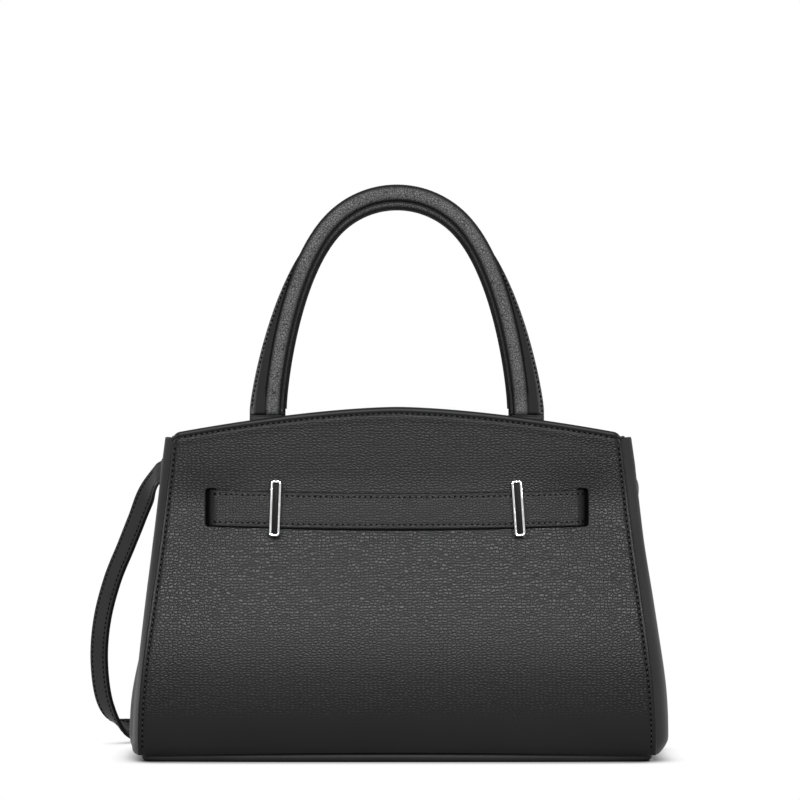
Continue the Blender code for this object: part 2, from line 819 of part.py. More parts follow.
def make_magnet(name, side, stud, steel):
    """Half of the magnetic closure, on the inner face of the facing."""
    inset = panel_thickness + gap + facing_thickness + gap
    ahead = float(depth_at(0.0, magnet_height + magnet_radius))
    seat = ahead - inset
    rim = magnet_radius - magnet_rim
    profile = [(0, 0), (magnet_radius, 0), (magnet_radius, magnet_depth - magnet_rim),
               (rim, magnet_depth)]
    if stud:
        profile += [(stud_radius, magnet_depth), (stud_radius, magnet_depth + stud_depth),
                    (0, magnet_depth + stud_depth)]
    else:
        profile += [(stud_radius + gap, magnet_depth), (stud_radius + gap, magnet_rim),
                    (0, magnet_rim)]
    disc = add_object(name, turned_mesh(name, profile, 24), steel)
    turn = Matrix.Rotation(math.radians(90.0 * side), 4, "X")
    disc.matrix_world = Matrix.Translation((0, side * seat, magnet_height)) @ turn


# Side rings, snap hooks and strap


def side_tab_centre(side, z):
    v = (z - hem_height) / (corner_height - gusset_dip - hem_height)
    return side * (float(side_x(0.0, v)) + side_tab_clearance + side_tab_thickness / 2)


def make_side_tab(name, side, leather):
    """Folded leather tab: its tails lie on the gusset, its loop holds the ring's wire."""
    loop_radius = ring_wire_radius + gap + side_tab_loop_wall
    loop_z = ring_height - ring_radius
    loop_x = side * ring_plane_x
    levels = ring_height - np.linspace(side_tab_foot_depth, side_tab_knee_depth, 3)
    route = [(side_tab_centre(side, z), z) for z in levels]
    route += [(loop_x, loop_z - loop_radius * 2), (loop_x, loop_z)]
    route = np.array(route)
    along = np.gradient(route, axis=0)
    along /= np.linalg.norm(along, axis=1)[:, None]
    across = np.stack([along[:, 1], -along[:, 0]], axis=-1) * side_tab_thickness / 2
    half = side_tab_width / 2
    loops = []
    for point, wide in zip(route, across):
        near = point - wide
        far = point + wide
        loops.append(np.array([(near[0], -half, near[1]), (far[0], -half, far[1]),
                               (far[0], half, far[1]), (near[0], half, near[1])]))
    tab = loft(name, loops, leather)
    turn = Matrix.Translation((loop_x, 0, loop_z)) @ out_axis()
    bulge = cutter("tab_loop", cylinder_mesh("loop", loop_radius + gap, -half, half, round_sides))
    bulge.matrix_world = turn
    combine(tab, bulge, "UNION")
    wire = cutter("tab_bore", ring_mesh(ring_wire_radius + gap))
    wire.matrix_world = ring_place(side)
    combine(tab, wire, "DIFFERENCE")
    return tab


def ring_mesh(wire):
    profile = [(ring_radius + wire * math.cos(a), wire * math.sin(a))
               for a in np.arange(8) * 2 * math.pi / 8]
    return turned_mesh("ring", profile, 24)


def ring_place(side):
    turn = Matrix.Rotation(math.radians(90.0), 4, "Y")
    return Matrix.Translation((side * ring_plane_x, 0, ring_height)) @ turn


def hook_frame(side):
    """Axes of a snap hook: along it, across it in the hook's plane, and through its breadth."""
    pitch = left_hook_pitch if side < 0 else right_hook_pitch
    slant = left_hook_slant if side < 0 else right_hook_slant
    radial = np.array((0, math.cos(pitch), math.sin(pitch)))
    out = np.array((float(side), 0, 0))
    along = math.cos(slant) * radial + math.sin(slant) * out
    across = math.cos(slant) * out - math.sin(slant) * radial
    breadth = np.cross(along, across)
    origin = np.array((side * ring_plane_x, 0, ring_height)) + ring_radius * radial
    return origin, along, across, breadth


def hook_matrix(side):
    origin, along, across, breadth = hook_frame(side)
    matrix = Matrix.Identity(4)
    for column, axis in enumerate((along, across, breadth)):
        for row in range(3):
            matrix[row][column] = axis[row]
    for row in range(3):
        matrix[row][3] = origin[row]
    return matrix


def along_x(low, high, radius, sides=small_sides):
    """Cylinder mesh along X, the hook's length."""
    mesh = cylinder_mesh("rod", radius, low, high, sides)
    mesh.transform(Matrix.Rotation(math.radians(90.0), 4, "Y"))
    return mesh


def hook_spots():
    """Places along the hook: its ring end, the turn at its far end and the eye's bar."""
    ring_end = hook_half_width - hook_section / 2 - ring_wire_radius - gap
    far_end = ring_end + hook_length
    shoulder = far_end + hook_half_width + hook_section / 2
    bar = shoulder + gap + barrel_length + eye_depth
    return ring_end, far_end, shoulder, bar


def make_hook(side_name, side, steel, spring_steel, swing):
    """Snap hook round the ring, its sprung gate and pin, and the turning eye for the strap."""
    ring_end, far_end, shoulder, bar_at = hook_spots()
    place = empty(side_name + "_hook_place", swing.matrix_world.inverted() @ hook_matrix(side),
                  swing)
    route = [(ring_end + hook_nose_reach, hook_half_width), (ring_end, hook_half_width)]
    for step in range(1, 9):
        angle = math.pi / 2 + math.pi * step / 8
        route.append((ring_end + hook_half_width * math.cos(angle),
                      hook_half_width * math.sin(angle)))
    for step in range(9):
        angle = -math.pi / 2 + math.pi * step / 8
        route.append((far_end + hook_half_width * math.cos(angle),
                      hook_half_width * math.sin(angle)))
    route.append((far_end - gate_lug, hook_half_width))
    route = np.array(route)
    along = np.gradient(route, axis=0)
    along /= np.linalg.norm(along, axis=1)[:, None]
    normal = np.stack([-along[:, 1], along[:, 0]], axis=-1)
    section = [(math.cos(a) * hook_section / 2, math.sin(a) * hook_breadth / 2)
               for a in math.pi / 8 + np.arange(8) * math.pi / 4]
    section = np.array(section) / math.cos(math.pi / 8)
    loops = []
    for point, wide in zip(route, normal):
        xy = point + section[:, :1] * wide
        loops.append(np.concatenate([xy, section[:, 1:]], axis=-1))
    hook = loft(side_name + "_hook", loops, steel, place)
    barrel = cutter("barrel", along_x(shoulder - hook_section, shoulder + barrel_length,
                                      barrel_radius))
    barrel.parent = place
    combine(hook, barrel, "UNION")
    bore = cutter("barrel_bore", along_x(far_end, shoulder + barrel_length + cut_overrun,
                                         eye_stem_radius + gap))
    bore.parent = place
    combine(hook, bore, "DIFFERENCE")

    slot = box_mesh("lug_slot", (far_end - gate_lug - cut_overrun, hook_half_width - hook_section,
                                 -gate_section / 2 - gap),
                    (far_end + gap, hook_half_width + hook_section, gate_section / 2 + gap))
    lug_slot = cutter("lug_slot", slot)
    lug_slot.parent = place
    combine(hook, lug_slot, "DIFFERENCE")
    pin_at = far_end - gate_lug / 2
    pin_hole = cutter("pin_hole", cylinder_mesh("pin_hole", pin_radius + gap / 2,
                                                -hook_breadth, hook_breadth, 10))
    pin_hole.parent = place
    pin_hole.location = (pin_at, hook_half_width, 0)
    combine(hook, pin_hole, "DIFFERENCE")
    pin = add_object(side_name + "_gate_pin",
                     cylinder_mesh("pin", pin_radius, -hook_breadth / 2, hook_breadth / 2, 10),
                     steel, place)
    pin.location = (pin_at, hook_half_width, 0)

    hinge = empty(side_name + "_gate_hinge",
                  Matrix.Translation((pin_at, hook_half_width, 0)), place)
    nose = ring_end + hook_nose_reach + gap
    half = gate_section / 2
    gate = add_object(side_name + "_gate", box_mesh("gate", (nose - pin_at, -half, -half),
                                                    (half * 0.9, half, half), half * 0.4),
                      spring_steel, hinge)
    gate_hole = cutter("gate_hole", cylinder_mesh("gate_hole", pin_radius + gap / 2, -hook_breadth,
                                                  hook_breadth, 10))
    gate_hole.parent = hinge
    combine(gate, gate_hole, "DIFFERENCE")

    inner_turn = hook_half_width - hook_section / 2
    head = far_end + math.sqrt(inner_turn ** 2 - eye_head_radius ** 2) - gap * 1.5
    near = shoulder + barrel_length + gap + eye_wire_radius
    half_bar = strap_width / 2 + gap * 2 + eye_wire_radius
    corner = eye_wire_radius * 1.6
    outline = rounded_rectangle((bar_at - near) / 2, half_bar, corner, 0.0, 3)
    centre = (bar_at + near) / 2
    turn = np.arange(10) * 2 * math.pi / 10
    loops = []
    tangent = np.roll(outline, -1, axis=0) - np.roll(outline, 1, axis=0)
    tangent /= np.linalg.norm(tangent, axis=1)[:, None]
    for point, t in zip(outline, tangent):
        wide = np.array((t[1], -t[0]))
        ring = np.outer(eye_wire_radius * np.cos(turn), wide)
        loops.append(np.stack([centre + point[0] + ring[:, 0], eye_wire_radius * np.sin(turn),
                               point[1] + ring[:, 1]], axis=-1))
    eye = ring_loft(side_name + "_hook_eye", loops, steel, place)
    stem = cutter("eye_stem", along_x(head - eye_head_depth / 2, near, eye_stem_radius))
    stem.parent = place
    combine(eye, stem, "UNION")
    top = cutter("eye_head", along_x(head - eye_head_depth, head, eye_head_radius))
    top.parent = place
    combine(eye, top, "UNION")


def fold_path():
    """Centre line of a folded strap end in the hook's plane, from the tail round the eye's bar."""
    bar_at = hook_spots()[3]
    layer = (gap + strap_loop_wall) / 2
    radius = eye_wire_radius + gap + strap_loop_wall / 2
    near = bar_at + radius * 1.5
    far = near + strap_fold_length
    rows = [(far, -layer), ((far + near) / 2, -layer), (near, -layer)]
    for step in range(9):
        angle = math.radians(-55.0 - 250.0 * step / 8)
        rows.append((bar_at + radius * math.cos(angle), radius * math.sin(angle)))
    return rows + [(near, layer), ((far + near) / 2, layer), (far, layer)]


def strap_line():
    """Points, width directions and thicknesses along the strap, smooth through its route."""
    floor = strap_width / 2
    keys = []
    halves = ((-1, left_route_shares, left_turned_width_shares),
              (1, right_route_shares, right_turned_width_shares))
    for side, rows, turned in halves:
        for x, y, z, turn in rows:
            width = (1 - turn) * np.array((0, 0, -1.0)) + turn * np.array(turned)
            rise = floor + z * (ring_height - floor)
            keys.append((side * x * strap_spread_width, y * strap_reach_length, rise, *width))
    folds = []
    for side in (-1, 1):
        origin, along, across, breadth = hook_frame(side)
        breadth = -breadth * np.sign(breadth[2])
        folds.append(np.array([(*(origin + u * along + v * across), *breadth)
                               for u, v in fold_path()]))
    keys = np.array(keys)
    ends = []
    for fold, beside in ((folds[0], keys[0]), (folds[1], keys[-1])):
        step = beside[:3] - fold[-1, :3]
        straight = fold[-1, :3] - fold[-2, :3]
        straight *= 2 * np.linalg.norm(step) / np.linalg.norm(straight)
        ends.append(np.array([(*(beside[:3] - straight), *fold[-1, 3:])]))
    keys = np.concatenate([ends[0], folds[0][-1:], keys, folds[1][-1:], ends[1]])
    t = np.linspace(0, 1, strap_steps, endpoint=False)[:, None]
    rows = []
    for i in range(1, len(keys) - 2):
        a, b, c, d = keys[i - 1:i + 3]
        rows.append(0.5 * (2 * b + (c - a) * t + (2 * a - 5 * b + 4 * c - d) * t ** 2
                           + (3 * b - a - 3 * c + d) * t ** 3))
    line = np.concatenate([folds[0][:-1]] + rows + [folds[1][::-1]])
    points = line[:, :3]
    along = np.gradient(points, axis=0)
    along /= np.linalg.norm(along, axis=1)[:, None]
    width = line[:, 3:]
    width = width - (width * along).sum(axis=1)[:, None] * along
    width /= np.linalg.norm(width, axis=1)[:, None]
    lowest = points[:, 2] - np.abs(width[:, 2]) * strap_width / 2
    lowest -= np.abs(np.cross(along, width)[:, 2]) * strap_thickness / 2
    points[:, 2] += np.maximum(0.0, -lowest)
    fold = len(folds[0])
    order = np.arange(len(points))
    ramp = np.minimum(order - fold, len(points) - 1 - order - fold) / strap_steps
    thick = strap_loop_wall + (strap_thickness - strap_loop_wall) * smoothstep(ramp)
    return points, along, width, thick


def make_strap(leather, swing):
    """Flat strap, folded round the bar of the eye at each end and sewn to itself."""
    points, along, width, thick = strap_line()
    normal = np.cross(along, width)
    loops = []
    for p, w, n, t in zip(points, width, normal, thick):
        a = w * strap_width / 2
        b = n * t / 2
        loops.append(np.array([p - a - b, p + a - b, p + a + b, p - a + b]))
    strap = loft("shoulder_strap", loops, leather, swing)
    strap.data.transform(swing.matrix_world.inverted())
    lengths = np.linalg.norm(np.diff(points, axis=0), axis=1)
    print("strap length", round(float(lengths.sum()), 4))
    return strap


def main():
    clear_scene()
    grained = material("grained_leather", (0.035, 0.036, 0.037), 0.5)
    smooth = material("smooth_leather", (0.030, 0.030, 0.031), 0.45)
    cloth = material("lining_cloth", (0.12, 0.115, 0.11), 0.9)
    board = material("fibre_board", (0.25, 0.22, 0.18), 0.9)
    cord = material("cotton_cord", (0.6, 0.57, 0.5), 0.95)
    steel = material("polished_steel", (0.75, 0.75, 0.76), 0.18, 1.0)
    enamel = material("black_enamel", (0.01, 0.01, 0.011), 0.12)

    front = make_panel("front_panel", -1, grained)
    cut_slots(front)
    make_panel("back_panel", 1, grained)
    make_gusset("left_gusset", -1, smooth)
    make_gusset("right_gusset", 1, smooth)
    make_base(smooth, board)
    make_lining(cloth)
    make_pocket(cloth)
    make_facing("front_facing", -1, smooth)
    make_facing("back_facing", 1, smooth)
    make_magnet("front_magnet", -1, True, steel)
    make_magnet("back_magnet", 1, False, steel)
    make_belt(grained)
    make_bar("left", -1, left_bar_lean, steel, enamel)
    make_bar("right", 1, right_bar_lean, steel, enamel)

    for name, side in (("front", -1), ("back", 1)):
        hinge = empty(name + "_handle_hinge",
                      Matrix.Translation((0, side * handle_plane(), hinge_height)))
        make_handle(name + "_handle", side, grained, cord, hinge)
        for end_name, end in (("left", -1), ("right", 1)):
            make_handle_tab(name + "_handle_" + end_name + "_tab", side, end, grained)

    swing = empty("strap_swing", Matrix.Translation((0, 0, ring_height)))
    bpy.context.view_layer.update()
    for name, side in (("left", -1), ("right", 1)):
        make_side_tab(name + "_side_tab", side, smooth)
        ring = add_object(name + "_ring", ring_mesh(ring_wire_radius), steel, swing)
        ring.matrix_local = Matrix.Translation((0, 0, -ring_height)) @ ring_place(side)
        make_hook(name, side, steel, steel, swing)
    make_strap(smooth, swing)
    bpy.context.view_layer.update()


main()
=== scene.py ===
import math

import bmesh
import bpy
import numpy as np
from mathutils import Matrix, Vector


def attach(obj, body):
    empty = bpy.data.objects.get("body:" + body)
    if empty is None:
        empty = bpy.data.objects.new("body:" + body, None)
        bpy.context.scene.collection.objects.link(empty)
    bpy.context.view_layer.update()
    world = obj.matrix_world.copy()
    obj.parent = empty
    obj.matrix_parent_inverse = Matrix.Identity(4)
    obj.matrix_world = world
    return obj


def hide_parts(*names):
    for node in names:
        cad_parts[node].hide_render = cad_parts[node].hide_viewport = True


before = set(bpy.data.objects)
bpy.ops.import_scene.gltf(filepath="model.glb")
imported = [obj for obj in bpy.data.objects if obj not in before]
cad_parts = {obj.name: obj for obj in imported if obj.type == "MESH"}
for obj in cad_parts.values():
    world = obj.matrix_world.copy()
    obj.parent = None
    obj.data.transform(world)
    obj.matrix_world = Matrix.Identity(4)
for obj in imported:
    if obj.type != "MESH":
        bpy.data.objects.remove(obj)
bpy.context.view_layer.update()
print("frame loaded,", len(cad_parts), "nodes")

# the bag's own shape, in metres
bag = dict(bottomHalf=0.1388, topHalf=0.1207, bow=0.0023, hem=0.0036, corner=0.1762, crown=0.1902,
           mouth=0.0470, belly=0.0620, bellyZ=0.047, shoulderZ=0.155, hemDepth=0.0510,
           sideFall=0.0040, skin=0.0016, gap=0.0003, sag=0.0017, sagX=0.1000, sagZ=0.1370,
           sagWide=0.019, sagTall=0.0145)


def smoothStep(t):
    # 0 below 0, 1 above 1, and 3t^2 - 2t^3 between
    t = np.clip(t, 0.0, 1.0)
    return t * t * (3 - 2 * t)


def bell(x, middle, width):
    # Gaussian: e to the minus square of the distance over the width
    return np.exp(-((x - middle) / width) ** 2)


def bezier(a, b, c, d, t):
    return (1 - t) ** 3 * a + 3 * t * (1 - t) ** 2 * b + 3 * t * t * (1 - t) * c + t ** 3 * d


def halfWidth(v):
    # straight taper from hem to mouth, plus a bow of v (1 - v)^3 that is fullest at a quarter
    bow = bag["bow"] * v * (1 - v) ** 3 * 256 / 27
    return bag["bottomHalf"] + (bag["topHalf"] - bag["bottomHalf"]) * v + bow


def topHeight(u):
    # rises from the corners to the crown by 1 - |u|^1.6
    return bag["corner"] + (bag["crown"] - bag["corner"]) * (1 - np.abs(u) ** 1.6)


def bodyDepth(u, z):
    # half depth: S-curve from belly to shoulder, quarter ellipse under the belly, less a fourth
    # power of u to the sides
    above = smoothStep((z - bag["bellyZ"]) / (bag["shoulderZ"] - bag["bellyZ"]))
    below = np.clip((bag["bellyZ"] - z) / (bag["bellyZ"] - bag["hem"]), 0.0, 1.0)
    lean = (bag["belly"] - bag["mouth"]) * above
    tuck = (bag["belly"] - bag["hemDepth"]) * (1 - np.sqrt(1 - 0.96 * below * below))
    return bag["belly"] - lean - tuck - bag["sideFall"] * np.abs(u) ** 4


def sagAt(x, z):
    # Gaussian hollow round each slot, where the belt pulls the leather in
    return bag["sag"] * np.exp(-((np.abs(x) - bag["sagX"]) / bag["sagWide"]) ** 2
                               - ((z - bag["sagZ"]) / bag["sagTall"]) ** 2)


def depthAt(x, z, side=1):
    # half depth of a face at x and z; the front one, side -1, has the hollows
    v = (z - bag["hem"]) / (bag["crown"] - bag["hem"])
    return bodyDepth(x / halfWidth(v), z) - (sagAt(x, z) if side < 0 else 0.0)


# meshes from arrays
creaseAngle = 40.0


def gridFaces(rows, cols, closeRows=False, closeCols=False, start=0):
    # quads of a grid of points, wrapped round where it closes
    r = np.arange(rows if closeRows else rows - 1)[:, None]
    c = np.arange(cols if closeCols else cols - 1)[None, :]
    r2 = (r + 1) % rows
    c2 = (c + 1) % cols
    quads = np.stack([r * cols + c, r * cols + c2, r2 * cols + c2, r2 * cols + c], axis=-1)
    return quads.reshape(-1, 4) + start


def linked(name, data):
    obj = bpy.data.objects.new(name, data)
    bpy.context.scene.collection.objects.link(obj)
    return obj


def turnOutwards(mesh):
    # recalculates normals, then checks the sign of the enclosed volume
    work = bmesh.new()
    work.from_mesh(mesh)
    bmesh.ops.recalc_face_normals(work, faces=work.faces)
    if work.calc_volume(signed=True) < 0:
        bmesh.ops.reverse_faces(work, faces=work.faces)
    work.to_mesh(mesh)
    work.free()


def makeObject(name, points, faces, finish, sharp=creaseAngle, attributes=None):
    # a mesh from points and faces, with every face turned outwards
    mesh = bpy.data.meshes.new(name)
    mesh.from_pydata(np.asarray(points).reshape(-1, 3).tolist(), [], [tuple(f) for f in faces])
    for key, values in (attributes or {}).items():
        layer = mesh.attributes.new(key, "FLOAT", "POINT")
        layer.data.foreach_set("value", np.asarray(values, np.float32).ravel())
    mesh.validate()
    mesh.materials.append(finish)
    turnOutwards(mesh)
    mesh.shade_smooth()
    mesh.set_sharp_from_angle(angle=math.radians(sharp))
    return linked(name, mesh)


def dress(obj, body, slotName, *nodes):
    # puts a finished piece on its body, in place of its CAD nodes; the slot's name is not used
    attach(obj, body)
    if nodes:
        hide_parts(*nodes)


def cutAway(obj, tools):
    # takes the tools out of a piece, applies that and removes them
    for tool in tools:
        mod = obj.modifiers.new("cut", "BOOLEAN")
        mod.operation = "DIFFERENCE"
        mod.solver = "EXACT"
        mod.object = tool
    bpy.context.view_layer.update()
    deps = bpy.context.evaluated_depsgraph_get()
    mesh = bpy.data.meshes.new_from_object(obj.evaluated_get(deps))
    obj.modifiers.clear()
    obj.data = mesh
    for tool in tools:
        bpy.data.objects.remove(tool, do_unlink=True)
    mesh.set_sharp_from_angle(angle=math.radians(creaseAngle))


def sheetSolid(name, outer, inner, finish, attributes=None, sharp=creaseAngle):
    # two grids of the same shape joined round their rim: a sheet with a thickness
    rows, cols = outer.shape[:2]
    front = gridFaces(rows, cols)
    back = gridFaces(rows, cols, start=rows * cols)[:, ::-1]
    rim = np.concatenate([np.arange(cols), np.arange(1, rows) * cols + cols - 1,
                          (rows - 1) * cols + np.arange(cols - 2, -1, -1),
                          np.arange(rows - 2, 0, -1) * cols])
    after = np.roll(rim, -1)
    side = np.stack([after, rim, rim + rows * cols, after + rows * cols], axis=-1)
    points = np.concatenate([outer.reshape(-1, 3), inner.reshape(-1, 3)])
    both = {key: np.tile(np.ravel(a), 2) for key, a in (attributes or {}).items()}
    return makeObject(name, points, np.concatenate([front, back, side]), finish, sharp, both)


def wallSkins(x, z, *depths):
    # grids over the same x and z, one for each depth
    return [np.stack([x, y, z], axis=-1) for y in depths]


def sweepSolid(name, loops, finish, closed=False, sharp=creaseAngle, attributes=None):
    # loops of the same count joined in order, with a flat cap on each open end
    loops = np.asarray(loops)
    rows, cols = loops.shape[:2]
    faces = list(gridFaces(rows, cols, closeRows=closed, closeCols=True))
    if not closed:
        faces += [range(cols), range((rows - 1) * cols, rows * cols)]
    return makeObject(name, loops, faces, finish, sharp, attributes)


def unit(a):
    return a / np.maximum(np.linalg.norm(a, axis=-1, keepdims=True), 1e-12)


def sweepLoops(path, across, up, section):
    # section (a, b) carried along the path: point + a * across + b * up
    section = np.broadcast_to(section, (len(path),) + np.shape(section)[-2:])
    return (path[:, None, :] + section[..., :1] * across[:, None, :]
            + section[..., 1:] * up[:, None, :])


def flatSweep(route, normal, section):
    # section (a, b) along a flat route: its places in the plane, and how far out of it each is
    flat = route[:, None, :] + section[None, :, :1] * normal[:, None, :]
    return flat, np.broadcast_to(section[None, :, 1], flat.shape[:2])


def roundedLoop(halfA, halfB, radius, steps=5):
    # rectangle with quarter-circle corners, counter-clockwise from the right side
    angles = np.concatenate([np.linspace(k, k + 1, steps) for k in range(4)]) * math.pi / 2
    signA = np.repeat([1, -1, -1, 1], steps)
    signB = np.repeat([1, 1, -1, -1], steps)
    return np.stack([signA * (halfA - radius) + radius * np.cos(angles),
                     signB * (halfB - radius) + radius * np.sin(angles)], axis=-1)


def ovalLoop(halfA, halfB, steps):
    # ellipse: halfA by the cosine, halfB by the sine
    turn = np.arange(steps) * 2 * math.pi / steps
    return np.stack([halfA * np.cos(turn), halfB * np.sin(turn)], axis=-1)


def withoutRepeats(loop):
    # drops each point that lies on the one before it
    return loop[np.linalg.norm(loop - np.roll(loop, 1, axis=0), axis=1) > 1e-7]


def standing(loop, y):
    # a flat loop (x, z) stood up at one depth
    return np.stack([loop[:, 0], np.full(len(loop), y), loop[:, 1]], axis=-1)


def turned(profile, steps=48):
    # profile of (radius, height) turned about Z, as loops
    profile = np.asarray(profile)
    angle = np.arange(steps) * 2 * math.pi / steps
    return np.stack([profile[:, :1] * np.cos(angle), profile[:, :1] * np.sin(angle),
                     np.broadcast_to(profile[:, 1:], (len(profile), steps))], axis=-1)


def edgeSpots(length, spots, count):
    # distances along a length: the given spots from both ends, evenly spaced between
    spots = np.asarray(spots)
    middle = np.linspace(spots[-1], length - spots[-1], count)[1:-1]
    return np.concatenate([spots, middle, (length - spots)[::-1]])


def edgeRound(distance, radius):
    # how far a skin falls back at its edge: a quarter circle of that radius
    t = np.clip(1 - distance / radius, 0, 1)
    return radius * (1 - np.sqrt(1 - t * t))


# materials
def plug(tree, socket, value):
    # links a socket to another one, or sets its value
    if isinstance(value, bpy.types.NodeSocket):
        tree.links.new(value, socket)
    else:
        socket.default_value = value


def fill(tree, item, inputs):
    # options and sockets by name, with _ for a blank
    for key, value in inputs.items():
        if hasattr(item, key) and key not in item.inputs:
            setattr(item, key, value)
        else:
            plug(tree, item.inputs[key.replace("_", " ")], value)


def node(tree, kind, **inputs):
    item = tree.nodes.new("ShaderNode" + kind)
    fill(tree, item, inputs)
    return item


def noise(tree, place, scale, detail):
    return node(tree, "TexNoise", Vector=place, Scale=scale, Detail=detail).outputs["Fac"]


def calc(tree, operation, *values):
    item = node(tree, "Math", operation=operation)
    for socket, value in zip(item.inputs, values):
        plug(tree, socket, value)
    return item.outputs[0]


def mixed(tree, kind, share, low, high, **options):
    # a colour mix has its two sockets at 6 and 7, a mix of numbers at 2 and 3
    item = node(tree, "Mix", data_type=kind, **options)
    first, out = (6, 2) if kind == "RGBA" else (2, 0)
    for index, value in ((0, share), (first, low), (first + 1, high)):
        plug(tree, item.inputs[index], value)
    return item.outputs[out]


def ramp(tree, source, stops):
    item = node(tree, "ValToRGB")
    plug(tree, item.inputs[0], source)
    line = item.color_ramp
    while len(line.elements) < len(stops):
        line.elements.new(0.5)
    for element, (place, colour) in zip(line.elements, stops):
        element.position = place
        element.color = (*colour, 1.0) if len(np.shape(colour)) else (colour, colour, colour, 1.0)
    return item.outputs[0]


def shade(colour, share):
    return tuple(np.array(colour) * share)


def newMaterial(name):
    # a material, its tree and the object's own coordinates
    mat = bpy.data.materials.new(name)
    mat.use_nodes = True
    return mat, mat.node_tree, node(mat.node_tree, "TexCoord").outputs["Object"]


def finished(mat, height, strength, distance, **inputs):
    # the shader's inputs, with a bump of that height
    tree = mat.node_tree
    bump = node(tree, "Bump", Height=height, Strength=strength, Distance=distance)
    fill(tree, tree.nodes["Principled BSDF"], dict(inputs, Normal=bump.outputs["Normal"]))
    return mat


def grainLeather(name, look):
    # distance to the edge of cells, stretched along the bag and bent by a soft noise: creases at 0
    # painted near black as shade, round domed, shiny tops, mixed with a plain finish by a point
    # attribute
    mat, tree, place = newMaterial(name)
    bend = node(tree, "TexNoise", Vector=place, Scale=look["bendScale"], Detail=2.0)
    shift = node(tree, "VectorMath", operation="MULTIPLY_ADD")
    for socket, value in zip(shift.inputs, (bend.outputs["Color"], [look["bendSize"]] * 3, place)):
        plug(tree, socket, value)
    # turned so that a flat pattern lies in the plane of X and Z
    stretch = node(tree, "Mapping", Vector=shift.outputs[0], Scale=look["cells"],
                   Rotation=(math.radians(-90.0), 0, 0)).outputs[0]
    cells = node(tree, "TexVoronoi", Vector=stretch, Scale=1.0, voronoi_dimensions=look["space"],
                 feature="DISTANCE_TO_EDGE", Randomness=look["uneven"])
    fine = node(tree, "TexNoise", Vector=stretch, Scale=2.4, Detail=4.0, Roughness=0.6)
    broad = noise(tree, place, look["broadScale"], 3.0)
    # the creases' width comes and goes with the broad noise
    depth = calc(tree, "MULTIPLY", cells.outputs["Distance"],
                 ramp(tree, broad, [(0.3, 1.0), (0.7, 0.75)]))
    crease = look["crease"]
    top = ramp(tree, depth, [(0.0, 0.0), (crease * 0.4, 0.7), (crease, 1.0)])
    dome = ramp(tree, depth, [(0.0, 0.0), (crease * 0.5, 0.35), (crease, 0.58), (0.30, 0.87),
                              (0.45, 1.0)])
    height = calc(tree, "MULTIPLY_ADD", fine.outputs["Fac"], look["fineShare"], dome)
    kept = node(tree, "Attribute", attribute_name="grainAndPaintedLight").outputs["Fac"]
    # the creases' colour is near black: painted shade in the creases
    shadedCreaseTone = ramp(tree, top, [(0.0, shade(look["colour"], look["creaseShadeShare"])),
                            (1.0, look["colour"])])
    # where the attribute is low the plain colour takes over: painted shade low on the panels and on
    # the handles
    colour = mixed(tree, "RGBA", kept, (*look["plain"], 1.0), shadedCreaseTone)
    colour = mixed(tree, "RGBA", 1.0, colour, ramp(tree, broad, [(0.3, 0.86), (0.7, 1.1)]),
                   blend_type="MULTIPLY")
    rough = mixed(tree, "FLOAT", kept, look["roughPlain"],
                  ramp(tree, top, [(0.0, look["roughLow"]), (1.0, look["roughHigh"])]))
    return finished(mat, height, kept, look["depth"], Base_Color=colour, Roughness=rough,
                    Specular_IOR_Level=look["specular"])


def smoothLeather(name, look):
    # cell distance plus a fine noise for the pores, under a finish whose tone changes slowly
    mat, tree, place = newMaterial(name)
    pores = node(tree, "TexVoronoi", Vector=place, Scale=look["poreScale"]).outputs["Distance"]
    fine = noise(tree, place, look["poreScale"] * 0.6, 5.0)
    tone = [(0.3, shade(look["colour"], 0.75)), (0.7, shade(look["colour"], 1.2))]
    gloss = [(0.3, look["rough"] - 0.06), (0.7, look["rough"] + 0.06)]
    return finished(mat, calc(tree, "ADD", pores, fine), look["bump"], 0.0001,
                    Base_Color=ramp(tree, noise(tree, place, look["broadScale"], 3.0), tone),
                    Roughness=ramp(tree, fine, gloss), Specular_IOR_Level=look["specular"])


def wovenCloth(name, colour, threads):
    # product of two sine waves, banded along X and along Z, plus a slubby noise; the colour is
    # darker where the weave is low: painted shade in its hollows
    mat, tree, place = newMaterial(name)
    waves = [node(tree, "TexWave", Vector=place, Scale=threads, Distortion=1.5,
                  bands_direction=way).outputs["Fac"] for way in ("X", "Z")]
    height = calc(tree, "ADD", calc(tree, "MULTIPLY", *waves), noise(tree, place, 350.0, 2.0))
    return finished(mat, height, 0.5, 0.0002, Roughness=0.9, Sheen_Weight=0.3,
                    Base_Color=ramp(tree, height, [(0.3, shade(colour, 0.6)), (1.2, colour)]))


def polishedSteel(name, colour, rough):
    # mirror finish with hair-fine scratches along Z and faint smudges in the roughness
    mat, tree, place = newMaterial(name)
    long = node(tree, "Mapping", Vector=place, Scale=(4000, 4000, 300)).outputs[0]
    lines = noise(tree, long, 1.0, 2.0)
    both = calc(tree, "MULTIPLY", lines, noise(tree, place, 180.0, 3.0))
    return finished(mat, lines, 0.06, 0.00005, Base_Color=(*colour, 1.0), Metallic=1.0,
                    Roughness=ramp(tree, both, [(0.15, rough), (0.45, rough + 0.07)]))


def glossPaint(name, colour, rough, wave, specular):
    # brushed-on paint: a slow noise ripples the surface and makes the gloss a little uneven
    mat, tree, place = newMaterial(name)
    ripple = noise(tree, place, wave, 3.0)
    return finished(mat, ripple, 0.25, 0.0002, Base_Color=(*colour, 1.0),
                    Roughness=ramp(tree, ripple, [(0.3, rough), (0.7, rough + 0.1)]),
                    Specular_IOR_Level=specular)


